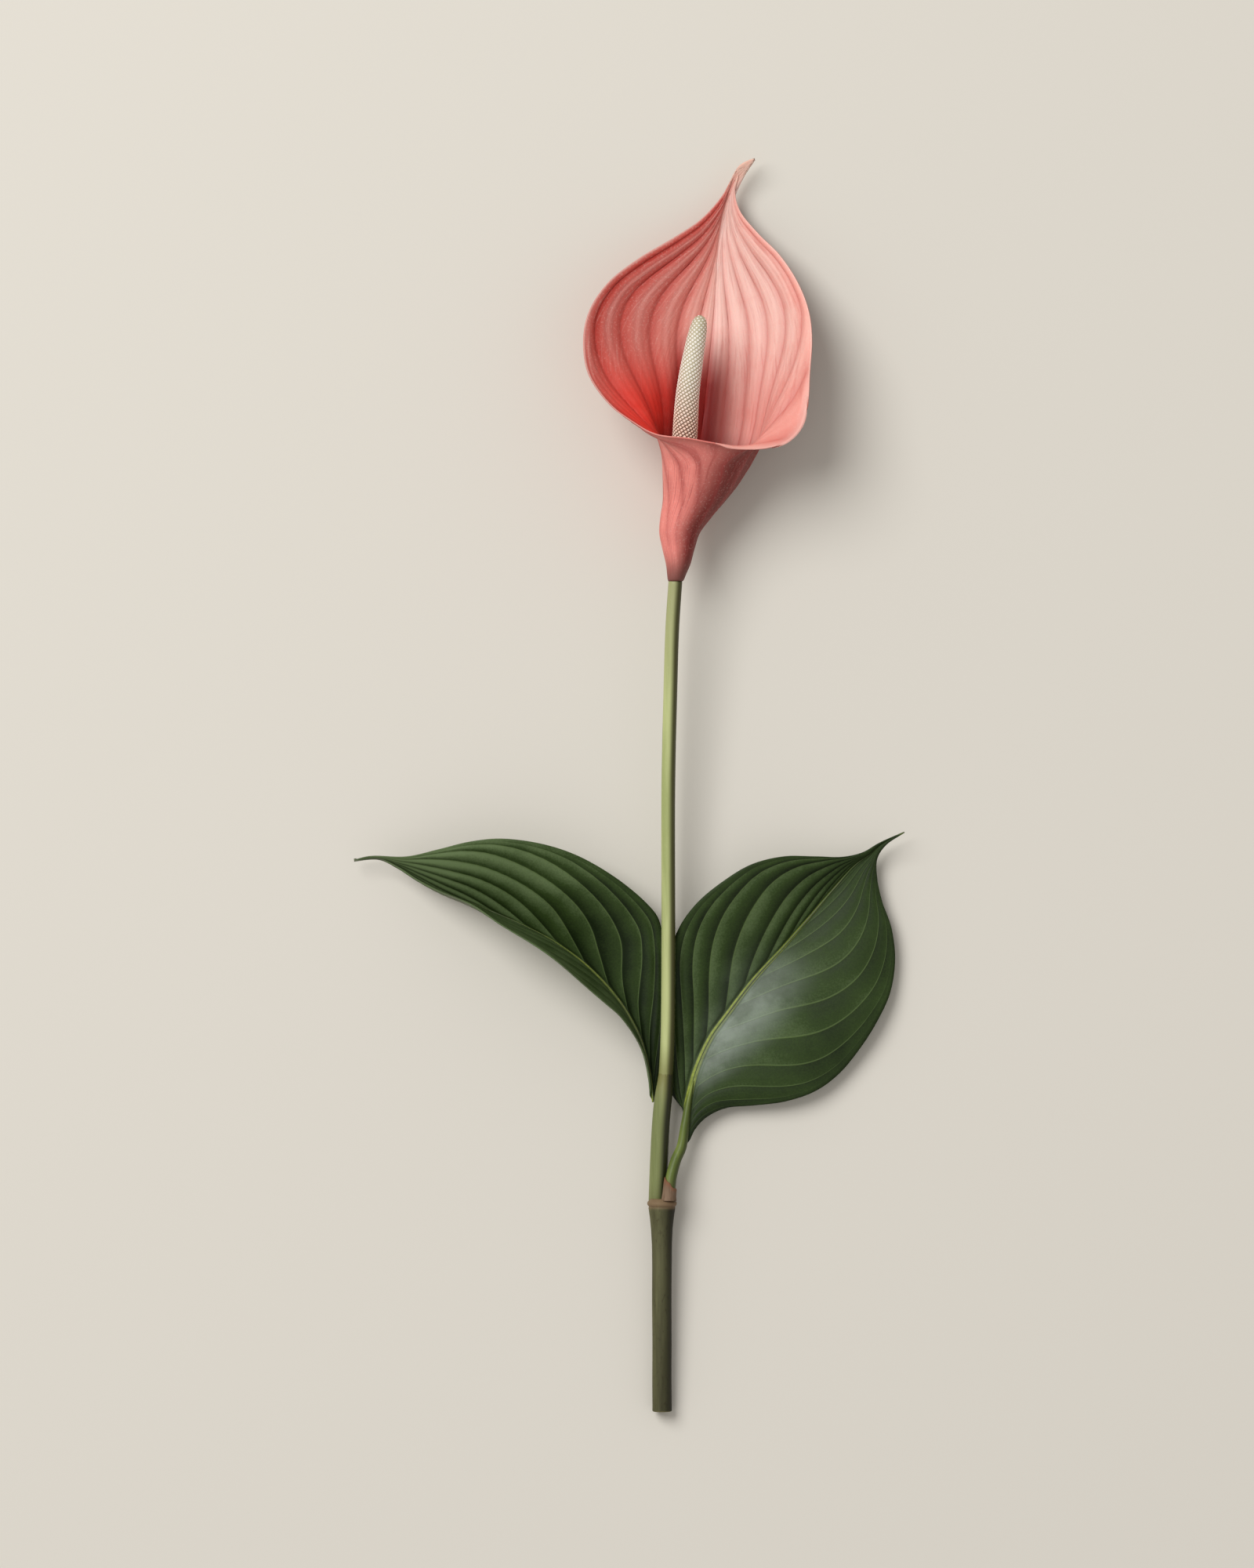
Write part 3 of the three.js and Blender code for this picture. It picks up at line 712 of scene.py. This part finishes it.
def growCane():
    # a disc at the cut end is extruded and resized step by step along the cane, lying along +Z
    deselectAll()
    radius = cane["radius"] - cane["chamfer"]
    bpy.ops.mesh.primitive_circle_add(vertices=64, radius=radius / 1000, fill_type="NGON",
                                      location=(0, 0, -cane["length"] / 1000))
    piece = bpy.context.object
    piece.name = "caneSkin"
    bpy.ops.object.mode_set(mode="EDIT")
    bpy.ops.mesh.select_mode(type="FACE")
    bpy.ops.mesh.select_all(action="SELECT")
    at = -cane["length"]
    for toAt, toRadius in cane["profile"]:
        steps = max(1, int((toAt - at) / 1.6))
        for k in range(steps):
            nextRadius = radius + (toRadius - radius) / (steps - k)
            bpy.ops.mesh.extrude_region_move(
                TRANSFORM_OT_translate={"value": (0, 0, (toAt - at) / steps / 1000)})
            grow = nextRadius / radius
            bpy.ops.transform.resize(value=(grow, grow, 1))
            radius = nextRadius
        at = toAt
    bpy.ops.object.mode_set(mode="OBJECT")
    bpy.ops.object.transform_apply(location=True, rotation=False, scale=False)
    tilt = math.asin((cane["ringHeight"] - cane["footHeight"]) / cane["length"])
    points = cornerArray(piece) * 1000
    ring = np.arctan2(points[:, 1], points[:, 0])
    swell = 1 + 0.012 * np.sin(3 * ring + points[:, 2] * 0.05) + 0.01 * np.sin(points[:, 2] * 0.21 + ring)
    x = points[:, 0] * swell
    up = points[:, 1] * swell
    y = points[:, 2]
    moved = np.stack([
        caneShift + x,
        y * math.cos(tilt) - up * math.sin(tilt),
        cane["ringHeight"] + y * math.sin(tilt) + up * math.cos(tilt),
    ], -1)
    # local +Y becomes +Z and local +Z becomes +Y, which mirrors, so the faces are turned afterwards
    moveCorners(piece, toFrame(moved))
    turnOutwards()
    finishPiece(piece, caneMaterial(), "cane_bark", "cane")
    bpy.ops.object.shade_smooth_by_angle(angle=math.radians(50))


growCane()
print("cane done")


# The hood

hood = {
    "at": (5.6, 238.8, 22),
    # height, middle x, middle z, radius
    "funnel": [
        (-1.3, 0, 0, 2.8), (-0.8, 0.1, 0, 3.1), (0.8, 0.3, -0.1, 3.5), (5.2, 1, -0.5, 4.7),
        (11.2, 1.1, -1.1, 6.2), (17.2, 1.5, -1.6, 7.8), (23.2, 4, -2, 9.9), (29.2, 7, -2.2, 11.9),
        (35.2, 9.4, -1.8, 14.2), (41.2, 11.2, -1, 16.3),
    ],
    "rimRight": [
        (30.4, 160.6, -12.4), (25.8, 156.4, -13.4), (23.3, 151, -14.4), (23.1, 146, -14.8),
        (25, 140.2, -14.4), (31.6, 132, -12.4), (39.9, 123.5, -8.9), (46.9, 112.5, -3.4),
        (51, 101, 3.6), (52, 89, 9.6), (50.7, 76, 12.6), (49.6, 65, 14.6), (47, 56.6, 17.1),
        (41.2, 51.2, 19.1), (32.4, 49.2, 20.6), (22.4, 49.2, 22.1),
    ],
    "rimFront": (14.4, 50.3, 22.6),
    "rimLeft": [
        (3.4, 52.4, 22.1), (-4.6, 53.2, 21), (-10, 54.8, 19.6), (-16.4, 58.8, 17.4), (-25.1, 65.4, 14.6),
        (-33.4, 77.5, 11.6), (-35.2, 91, 8.6), (-32.8, 102, 4.6), (-25.6, 112.8, -0.4),
        (-14.1, 122, -5.4), (-0.1, 130.5, -9.4), (9.6, 137.2, -12.4), (17.6, 146.2, -14.4),
        (20.9, 152.3, -14), (24.3, 158, -13.2),
    ],
    # the way the wall heads as it meets the rim, from the tip round to the right
    "heading": [
        (0.62, 0.75, 0.25), (0.15, 0.95, 0.28), (0.35, 0.78, 0.5), (0.5, 0.5, 0.7), (0.5, 0.25, 0.82),
        (0.5, 0.05, 0.86), (0.4, -0.3, 0.87), (0.15, -0.5, 0.85), (0, -0.25, 0.97), (-0.15, 0.25, 0.95),
        (-0.4, 0.1, 0.9), (-0.6, 0.1, 0.8), (-0.65, 0.25, 0.72), (-0.6, 0.5, 0.62), (-0.35, 0.8, 0.5),
        (0, 0.95, 0.28),
    ],
    "gather": 2.6,  # how late the veins draw in towards the tip
    "pleats": (6, 5),  # left and right of the middle
    "sweep": (1, 2),  # how many pleats are drawn in beside the spike on each side
    "pleatHeight": 1.15,
    "twist": 1.5,  # how far the pleats wind round the funnel
    "lip": 1.0,  # how far the front rim rolls outwards
    "wall": 0.7,
    "frontShare": 0.3,
    "rounding": 0.08,  # how wide the trough of the hood's back is smoothed
    "grid": (200, 200),  # faces round the hood and up it
}


def roundTheMiddle(points, veins, s):
    # the hood's back is a round trough, so its corners are averaged with those beside them
    reach = int(hood["rounding"] * len(veins))
    weights = np.exp(-0.5 * (np.arange(-2 * reach, 2 * reach + 1) / reach) ** 2)
    weights = weights / weights.sum()
    padded = np.pad(points, ((0, 0), (2 * reach, 2 * reach), (0, 0)), mode="edge")
    soft = sum(w * padded[:, k:k + len(veins)] for k, w in enumerate(weights))
    share = (1 - softStep(np.abs(veins), 0.45, 0.9))[None, :] * softStep(s, 0.3, 0.5)[:, None]
    return points + (soft - points) * share[:, :, None]


def hoodForm():
    rimKnots = hood["rimRight"] + [hood["rimFront"]] + hood["rimLeft"]
    rimLine = smoothPoints(rimKnots, closed=True)
    rimLengths = np.concatenate([[0], np.cumsum(np.linalg.norm(np.diff(rimLine, axis=0), axis=1))])
    frontShare = rimLengths[len(hood["rimRight"]) * 40] / rimLengths[-1]
    headings = smoothPoints(hood["heading"], closed=True)
    headingPlaces = np.linspace(0, 1, len(headings))
    funnel = smoothPoints(hood["funnel"])
    lastRing = np.array(hood["funnel"][-1])
    ringBefore = np.array(hood["funnel"][-2])

    def ringPoints(ring, turn):
        angle = np.pi * turn
        return np.stack([ring[..., 1] + ring[..., 3] * np.sin(angle), ring[..., 0] + 0 * angle,
                         ring[..., 2] - ring[..., 3] * np.cos(angle)], -1)

    def upperPoints(turn, w):
        start = ringPoints(lastRing, turn)
        startWay = start - ringPoints(ringBefore, turn)
        startWay = startWay / np.linalg.norm(startWay, axis=1, keepdims=True)
        share = np.where(turn >= 0, turn * frontShare, 1 + turn * (1 - frontShare))
        end = readLine(rimLine, np.clip(share, 0, 1))
        place = ((turn + 2) / 2) % 1
        endWay = np.stack([np.interp(place, headingPlaces, headings[:, k]) for k in range(3)], -1)
        endWay = endWay / np.linalg.norm(endWay, axis=1, keepdims=True)
        reach = np.linalg.norm(end - start, axis=1, keepdims=True)
        w = w[:, None]
        return (start * (2 * w**3 - 3 * w**2 + 1) + startWay * reach * (w**3 - 2 * w**2 + w)
                + end * (3 * w**2 - 2 * w**3) + endWay * reach * 0.9 * (w**3 - w**2))

    def veinLine(v):
        # one vein from the foot, up the funnel and over the blade to the tip
        low = ringPoints(funnel, np.full(len(funnel), v))
        size = abs(v)
        side = 1 if v >= 0 else -1
        if size > 0.9999:
            w = np.concatenate([np.linspace(0, 1, 60), np.ones(300)])
            turn = np.concatenate([np.ones(60), np.linspace(1, 0, 300)])
        elif size < 0.003:
            w = np.linspace(0, 1, 300)
            turn = np.full(300, size)
        else:
            w = np.linspace(0, 0.9995, 160)
            turn = size ** (1 / (1 - w ** hood["gather"]))
            extraTurn = size * np.linspace(0.998, 0.0005, 260)
            extraW = (1 - np.log(size) / np.log(extraTurn)) ** (1 / hood["gather"])
            w = np.concatenate([w, extraW])
            turn = np.concatenate([turn, extraTurn])
            order = np.argsort(w)
            w = np.append(w[order], 1.0)
            turn = np.append(turn[order], 0.0)
        high = upperPoints(side * turn, w)
        return np.concatenate([low, high[1:]])

    def place(u, s):
        veins = 2 * u - 1
        lines = [veinLine(v) for v in veins]
        totals = [lengthOf(line) for line in lines]
        frontLine = np.concatenate([ringPoints(funnel, np.full(len(funnel), 1.0)),
                                    upperPoints(np.ones(60), np.linspace(0, 1, 60))])
        frontLength = lengthOf(frontLine)
        split = hood["frontShare"]
        columns = []
        for line, total in zip(lines, totals):
            distance = np.where(s <= split, frontLength * s / split,
                                frontLength + (total - frontLength) * (s - split) / (1 - split))
            columns.append(readLine(line, distance / total))
        points = np.stack(columns, 1)
        points[-1, :, :] = points[-1, len(u) // 2, :]
        points = roundTheMiddle(points, veins, s)
        normal = surfaceNormals(points)
        # the two edge columns meet on the funnel's front
        seam = s <= split
        joined = normal[seam, 0] + normal[seam, -1]
        joined = joined / np.linalg.norm(joined, axis=1, keepdims=True)
        normal[seam, 0] = joined
        normal[seam, -1] = joined
        v = veins[None, :]
        along = s[:, None]
        wander = 0.1 * np.sin(5 * along + 6 * v) + 0.03 * np.sin(19 * along + 3 * v)
        wander = wander * np.clip((1 - np.abs(v)) * 8, 0, 1)
        pleats = np.where(v < 0, hood["pleats"][0], hood["pleats"][1])
        # towards the throat the pleats sweep in beside the spike
        sweep = np.where(v < 0, -hood["sweep"][0], hood["sweep"][1])
        sweepWidth = np.where(v < 0, 0.35, 0.6)
        drawnIn = sweep * softStep(np.abs(v) / sweepWidth, 0.0, 1.0) * (1 - softStep(along, split, 0.68))
        count = pleats * v + 0.5 + wander + drawnIn + hood["twist"] * (1 - softStep(along, 0.0, split))
        part = np.abs(count - np.rint(count)) * 2
        step = np.linalg.norm(np.gradient(points, axis=1), axis=2)
        width = step / np.abs(np.gradient(count, axis=1))
        funnelWidth = width.mean(axis=1, keepdims=True)
        width = funnelWidth + (width - funnelWidth) * softStep(along, split, split + 0.1)
        size = np.minimum(hood["pleatHeight"], 0.13 * width)
        inBlade = softStep(along, 0.2, 0.42)
        nearEdge = softStep(1 - np.abs(v), 0.0, 0.09) * inBlade + (1 - inBlade)
        size = size * (0.3 + 0.7 * inBlade) * nearEdge * softStep(along, 0.0, 0.08)
        size = size * (1 - softStep(along, 0.93, 1.0))
        relief = size * (np.sin(part * np.pi / 2) ** 0.7 - 0.5)
        fine = 0.09 * size / hood["pleatHeight"] * np.sin(count * 2 * np.pi * 4)
        lip = softStep(v, 0.93, 1.0) * softStep(along, split, split + 0.03)
        lip = lip * (1 - softStep(along, 0.48, 0.6))
        points = points + normal * (relief + fine - hood["lip"] * lip)[:, :, None]
        middle = points.mean(axis=1, keepdims=True)
        points = middle + (points - middle) * (1 - 0.06 * softStep(s, 0.87, 0.96))[:, None, None]
        points = points + np.array(hood["at"])
        marks = {
            "side": v,
            "paintedShadeSide": np.sin(np.pi * v),
            "along": along,
            "across": 3 * np.cos(np.pi * (v + 0.12 * hood["twist"] * (1 - along))),
            "rim": np.maximum(0.7 * lip, softStep(np.abs(v), 0.972, 0.995) * inBlade),
            "paintedCreaseShade": (1 - part) ** 2.5 * np.clip(size / 0.3, 0, 1),
            "ridge": part ** 2 * np.clip(size / 0.3, 0, 1),
            "thin": 1 - 0.45 * softStep(np.abs(v), 0.93, 1.0) * inBlade - 0.1 * softStep(along, 0.85, 1.0),
        }
        return points, marks

    return place


hoodLook = {
    # colours from the left edge across to the right: the hood's own colour, with painted shade darkening
    # the left half, which faces away from the light
    "across": [
        (0.0, colour(190, 54, 40)), (0.1, colour(196, 72, 61)), (0.2, colour(204, 98, 87)),
        (0.3, colour(224, 134, 122)), (0.38, colour(246, 178, 165)), (0.47, colour(246, 200, 189)),
        (0.85, colour(234, 184, 172)), (1.0, colour(240, 164, 150)),
    ],
    "pale": colour(253, 222, 210),
    "coral": colour(226, 120, 108),
    "red": colour(226, 52, 38),
    # the vein streaks' colour, also used for painted shade in the pleats' creases
    "veinAndShadeRed": colour(176, 44, 38),
    # painted shadow and shade, beside the spike and deep in the throat
    "shadowRed": colour(132, 8, 6),
    "outside": colour(234, 138, 127),
    # the next two are the outside's vein colour, also used as painted shade in the creases, and the
    # painted shade of its side away from the light
    "outsideVeinAndShade": colour(158, 62, 58),
    "outsideShade": colour(116, 30, 24),
    "foot": colour(110, 66, 58),
    "tip": colour(236, 196, 176),
}


def hoodMaterial():
    material, shader = newMaterial("hoodCoral", 0.5, 0.3)
    side = readMark("side")
    along = readMark("along")
    fine = noiseOf(1300, detail=3)
    blotch = noiseOf(110, detail=4)
    ramp = addNode("ShaderNodeValToRGB", {0: rangeLine(side, -1.0, 1.0)})
    for k, (place, lightAndTone) in enumerate(hoodLook["across"]):
        stops = ramp.color_ramp.elements
        stop = stops[k] if k < 2 else stops.new(place)
        stop.position = place
        stop.color = lightAndTone
    base = ramp.outputs[0]
    base = mixColours(rangeOf(fine, 0.52, 0.72, 0, 0.2), base, hoodLook["pale"])
    # thin streaks that follow the pleats
    place = addNode("ShaderNodeCombineXYZ", {0: readMark("across"), 1: along}).outputs[0]
    streakInputs = {"Vector": place, "Scale": 9.0, "Detail": 4.0, "Roughness": 0.6}
    streak = addNode("ShaderNodeTexNoise", streakInputs).outputs["Fac"]
    base = mixColours(rangeOf(streak, 0.52, 0.68, 0, 0.28), base, hoodLook["veinAndShadeRed"])
    base = mixColours(rangeOf(streak, 0.46, 0.34, 0, 0.14), base, hoodLook["pale"])
    # redder towards the throat on the left; painted shadow of the spike beside it on the right
    base = mixColours(rangeOf(along, 0.6, 0.34, 0, 0.5), base, hoodLook["coral"])
    leftOnly = rangeOf(side, -0.04, -0.24)
    redPart = times(rangeOf(along, 0.52, 0.34), leftOnly)
    base = mixColours(redPart, base, hoodLook["red"])
    beside = times(rangeOf(side, -0.42, -0.3), rangeOf(side, 0.17, -0.05))
    paintedSpikeShadow = times(beside, rangeOf(along, 0.58, 0.42, 0, 0.95))
    base = mixColours(paintedSpikeShadow, base, hoodLook["shadowRed"])
    # painted shade deep in the throat
    base = mixColours(rangeOf(along, 0.34, 0.24, 0, 0.85), base, hoodLook["shadowRed"])
    # painted shade in the pleats' creases
    paintedCreaseShade = readMark("paintedCreaseShade")
    base = mixColours(times(paintedCreaseShade, 0.45), base, hoodLook["veinAndShadeRed"])
    # painted highlight on the pleats' ridges
    ridge = times(readMark("ridge"), rangeOf(along, 0.4, 0.6, 0, 0.22))
    base = mixColours(ridge, base, hoodLook["pale"])
    base = mixColours(rangeOf(blotch, 0.48, 0.72, 0, 0.16), base, hoodLook["coral"])
    rimPale = times(readMark("rim"), 0.45)
    base = mixColours(rimPale, base, hoodLook["pale"])
    # painted shade: the outside of the funnel darkens on its right side, away from the light, and in the
    # pleats' creases
    paintedShadeSide = readMark("paintedShadeSide")
    outTone = mixColours(rangeOf(paintedShadeSide, -0.4, 0.7), hoodLook["outside"], hoodLook["outsideShade"])
    outCreaseShade = times(paintedCreaseShade, 0.7)
    outTone = mixColours(outCreaseShade, outTone, hoodLook["outsideVeinAndShade"])
    outStreak = rangeOf(streak, 0.5, 0.66, 0, 0.45)
    outTone = mixColours(outStreak, outTone, hoodLook["outsideVeinAndShade"])
    outTone = mixColours(rangeOf(blotch, 0.45, 0.72, 0, 0.2), outTone, hoodLook["outsideVeinAndShade"])
    outTone = mixColours(rangeOf(fine, 0.52, 0.72, 0, 0.12), outTone, hoodLook["pale"])
    outTone = mixColours(rangeOf(along, 0.07, 0.0, 0, 0.9), outTone, hoodLook["foot"])
    base = mixColours(readMark("outside"), base, outTone)
    base = mixColours(rangeOf(along, 0.9, 0.97, 0, 0.85), base, hoodLook["tip"])
    link(base, shader, "Base Color")
    letLightIn(shader, 0.12, (1.0, 0.35, 0.25), 0.001)
    lines = noiseOf(240, (1, 0.25, 1), detail=3)
    height = plus(times(fine, 0.6), times(lines, 0.4))
    addBump(shader, height, 0.3, 0.0003)
    return material


def growHood():
    piece = gridPiece("spatheSkin", *hood["grid"], hoodForm())
    weldAndTurn(outward=False)
    innerCount = len(piece.data.vertices)
    group = piece.vertex_groups.new(name="wallShare")
    thin = np.zeros(innerCount, np.float32)
    piece.data.attributes["thin"].data.foreach_get("value", thin)
    levels = 20  # steps of the wall's thickness
    for level in range(levels):
        low = level / levels
        chosen = np.nonzero((thin > low) & (thin <= low + 1 / levels))[0]
        if len(chosen):
            group.add(chosen.tolist(), low + 0.5 / levels, "REPLACE")
    giveWall(piece, hood["wall"], 1, "wallShare")
    markFarSide(piece, "outside", innerCount)
    finishPiece(piece, hoodMaterial(), "spathe_coral", "spathe")


growHood()
print("hood done")


# The spike and its florets

spike = {
    "path": [
        (0, 0.3, 0), (0.7, 6, -0.4), (1.5, 20, -0.2), (3.4, 51.7, 2), (4.7, 71, 3), (7, 86, 3.2),
        (9.7, 100.1, 3),
    ],
    # share of the length, radius
    "radius": [
        (0, 2.3), (0.05, 2.8), (0.13, 3.7), (0.4, 4.55), (0.6, 4.5), (0.8, 4.0), (0.9, 3.6),
        (0.95, 3.2), (0.975, 2.7), (0.99, 1.9), (1, 0.5),
    ],
    "grid": (48, 160),
    # the tones at the spike's foot and at its tip
    "light": (colour(255, 220, 196), colour(240, 234, 222)),
    # the gap tones are painted shade between the florets, at the foot and at the tip
    "gap": (colour(96, 42, 22), colour(186, 176, 146)),
    "speck": colour(242, 238, 228),
    "florets": 1600,
    "size": 1.08,
}
spike["path"] = [tuple(np.array(p) + np.array(hood["at"])) for p in spike["path"]]


def spikeMaterial():
    material, shader = newMaterial("spikeCream", 0.55, 0.4)
    along = readMark("along")
    speck = noiseOf(700, detail=3)
    top = readMark("crown")
    light = mixColours(rangeOf(along, 0.5, 0.8), *spike["light"])
    light = mixColours(rangeOf(speck, 0.4, 0.7, 0, 0.4), light, spike["speck"])
    # painted shade in the gaps between the florets, brown at the foot and pale at the tip
    gap = mixColours(rangeOf(along, 0.45, 0.85), *spike["gap"])
    base = mixColours(rangeOf(top, 0.4, 0.92), gap, light)
    link(base, shader, "Base Color")
    letLightIn(shader, 0.04, (0.8, 0.6, 0.4), 0.0008)
    addBump(shader, speck, 0.2, 0.00015)
    return material


def modelFloret():
    # a low four-cornered cushion with a dimple and a small style, one unit wide
    deselectAll()
    bpy.ops.mesh.primitive_circle_add(vertices=8, radius=0.5, fill_type="NGON", location=(0, 0, -0.25))
    piece = bpy.context.object
    piece.name = "floret"
    bpy.ops.object.mode_set(mode="EDIT")
    bpy.ops.mesh.select_mode(type="FACE")
    bpy.ops.mesh.select_all(action="SELECT")
    for rise, grow in ((0.24, 1.0), (0.14, 0.84), (0.07, 0.6), (-0.05, 0.6), (0.09, 0.55)):
        bpy.ops.mesh.extrude_region_move(TRANSFORM_OT_translate={"value": (0, 0, rise)})
        bpy.ops.transform.resize(value=(grow, grow, 1))
    bpy.ops.object.mode_set(mode="OBJECT")
    bpy.ops.object.transform_apply(location=True, rotation=False, scale=False)
    points = cornerArray(piece)
    angle = np.arctan2(points[:, 1], points[:, 0])
    corner = 1 + 0.10 * np.cos(4 * angle)
    points[:, 0] *= corner * 1.08
    points[:, 1] *= corner * 0.95
    moveCorners(piece, points)
    addMark(piece, "crown", softStep(points[:, 2], -0.2, 0.06))
    return piece


def growSpike():
    material = spikeMaterial()
    form = tubeForm(spike["path"], lambda s: readTable(spike["radius"], s))
    core = gridPiece("spadixCore", *spike["grid"], form)
    weldAndTurn()
    addMark(core, "crown", np.full(len(core.data.vertices), 0.15))
    finishPiece(core, material, "spadix_cream", "spadix")
    line = smoothPoints(spike["path"])
    shares = np.linspace(0, 1, 2001)
    area = np.cumsum(readTable(spike["radius"], shares))
    area = area / area[-1]
    floret = modelFloret()
    copies = []
    golden = math.pi * (3 - math.sqrt(5))
    near = 0.008
    spikeLength = 100  # roughly, for the slope of the sides
    for k in range(spike["florets"]):
        share = float(np.interp((k + 0.5) / spike["florets"], area, shares))
        radius = float(readTable(spike["radius"], share))
        middle = readLine(line, [share])[0]
        ahead = readLine(line, [min(share + 0.01, 1)])[0] - readLine(line, [max(share - 0.01, 0)])[0]
        ahead = Vector(ahead).normalized()
        side = ahead.cross(Vector((0, 0, 1))).normalized()
        up = side.cross(ahead)
        before = readTable(spike["radius"], max(share - near, 0))
        slope = float(readTable(spike["radius"], min(share + near, 1)) - before)
        slope = slope / (2 * near * spikeLength)
        angle = golden * k
        out = (side * math.cos(angle) + up * math.sin(angle)).normalized()
        face = (out - ahead * slope * 0.9).normalized()
        tangent = face.cross(ahead).normalized()
        onward = tangent.cross(face).normalized()
        size = spike["size"] * (0.97 + 0.03 * math.sin(k * 1.7)) * (1 - 0.35 * max(0.0, share - 0.9) / 0.1)
        tall = size * (0.95 - 0.6 * float(softStep(share, 0.7, 0.96)))
        spot = Vector(middle) + out * (radius + 0.05)
        place = Matrix((
            (tangent.x * size, onward.x * size, face.x * tall, spot.x),
            (tangent.y * size, onward.y * size, face.y * tall, spot.y),
            (tangent.z * size, onward.z * size, face.z * tall, spot.z),
            (0, 0, 0, 1),
        ))
        copy = floret.copy()
        copy.data = floret.data.copy()
        copy.data.transform(place)
        addMark(copy, "along", np.full(len(copy.data.vertices), share))
        bpy.context.scene.collection.objects.link(copy)
        copies.append(copy)
    bpy.data.objects.remove(floret)
    deselectAll()
    for copy in copies:
        copy.select_set(True)
    bpy.context.view_layer.objects.active = copies[0]
    bpy.ops.object.join()
    florets = bpy.context.object
    florets.name = "spadixFlorets"
    moveCorners(florets, toFrame(cornerArray(florets)))
    turnOutwards()
    finishPiece(florets, material, "spadix_cream")


growSpike()
print("spike done")


# Floor, light and camera

studio = {
    "floor": colour(221, 216, 206), "floorSize": 8, "floorDrop": 0.0002,
    "sky": (1.0, 0.98, 0.95, 1), "skyStrength": 0.45,
    # the way to each light, then its power, width and distance
    "keyLight": ((-0.47, 0.42, 0.78), 97.0, 2.4, 3.6),
    "fillLight": ((0.6, -0.5, 0.9), 1.0, 1.6, 2.4),
    "lens": 300.0, "sensor": 36,
    "seen": 0.600,  # the width seen at the height of the object's middle
    "middle": (-0.00095, 0.00054, 0.004),  # what the camera looks at
}


def makeStudio():
    deselectAll()
    bpy.ops.mesh.primitive_plane_add(size=studio["floorSize"], location=(0, 0, -studio["floorDrop"]))
    floor = bpy.context.object
    floor.name = "floor"
    material, shader = newMaterial("floorPaper", 0.9, 0.1)
    shader.inputs["Base Color"].default_value = studio["floor"]
    floor.data.materials.append(material)
    world = bpy.data.worlds.new("studio")
    bpy.context.scene.world = world
    world.use_nodes = True
    background = world.node_tree.nodes["Background"]
    background.inputs["Color"].default_value = studio["sky"]
    background.inputs["Strength"].default_value = studio["skyStrength"]
    for name in ("keyLight", "fillLight"):
        way, power, size, away = studio[name]
        light = bpy.data.lights.new(name, "AREA")
        light.energy = power
        light.shape = "DISK"
        light.size = size
        lamp = bpy.data.objects.new(name, light)
        bpy.context.scene.collection.objects.link(lamp)
        towards = Vector(way).normalized()
        lamp.location = towards * away
        lamp.rotation_euler = towards.to_track_quat("Z", "Y").to_euler()


def makeCamera():
    data = bpy.data.cameras.new("camera")
    data.lens = studio["lens"]
    data.sensor_width = studio["sensor"]
    camera = bpy.data.objects.new("camera", data)
    bpy.context.scene.collection.objects.link(camera)
    away = studio["seen"] * studio["lens"] / studio["sensor"]
    x, y, z = studio["middle"]
    camera.location = (x, y, z + away)
    camera.rotation_euler = (0, 0, 0)  # straight down, with the flower upwards in the picture
    data.clip_end = 50
    bpy.context.scene.camera = camera


makeStudio()
makeCamera()
bpy.context.scene.view_settings.view_transform = "Standard"
print("studio done")
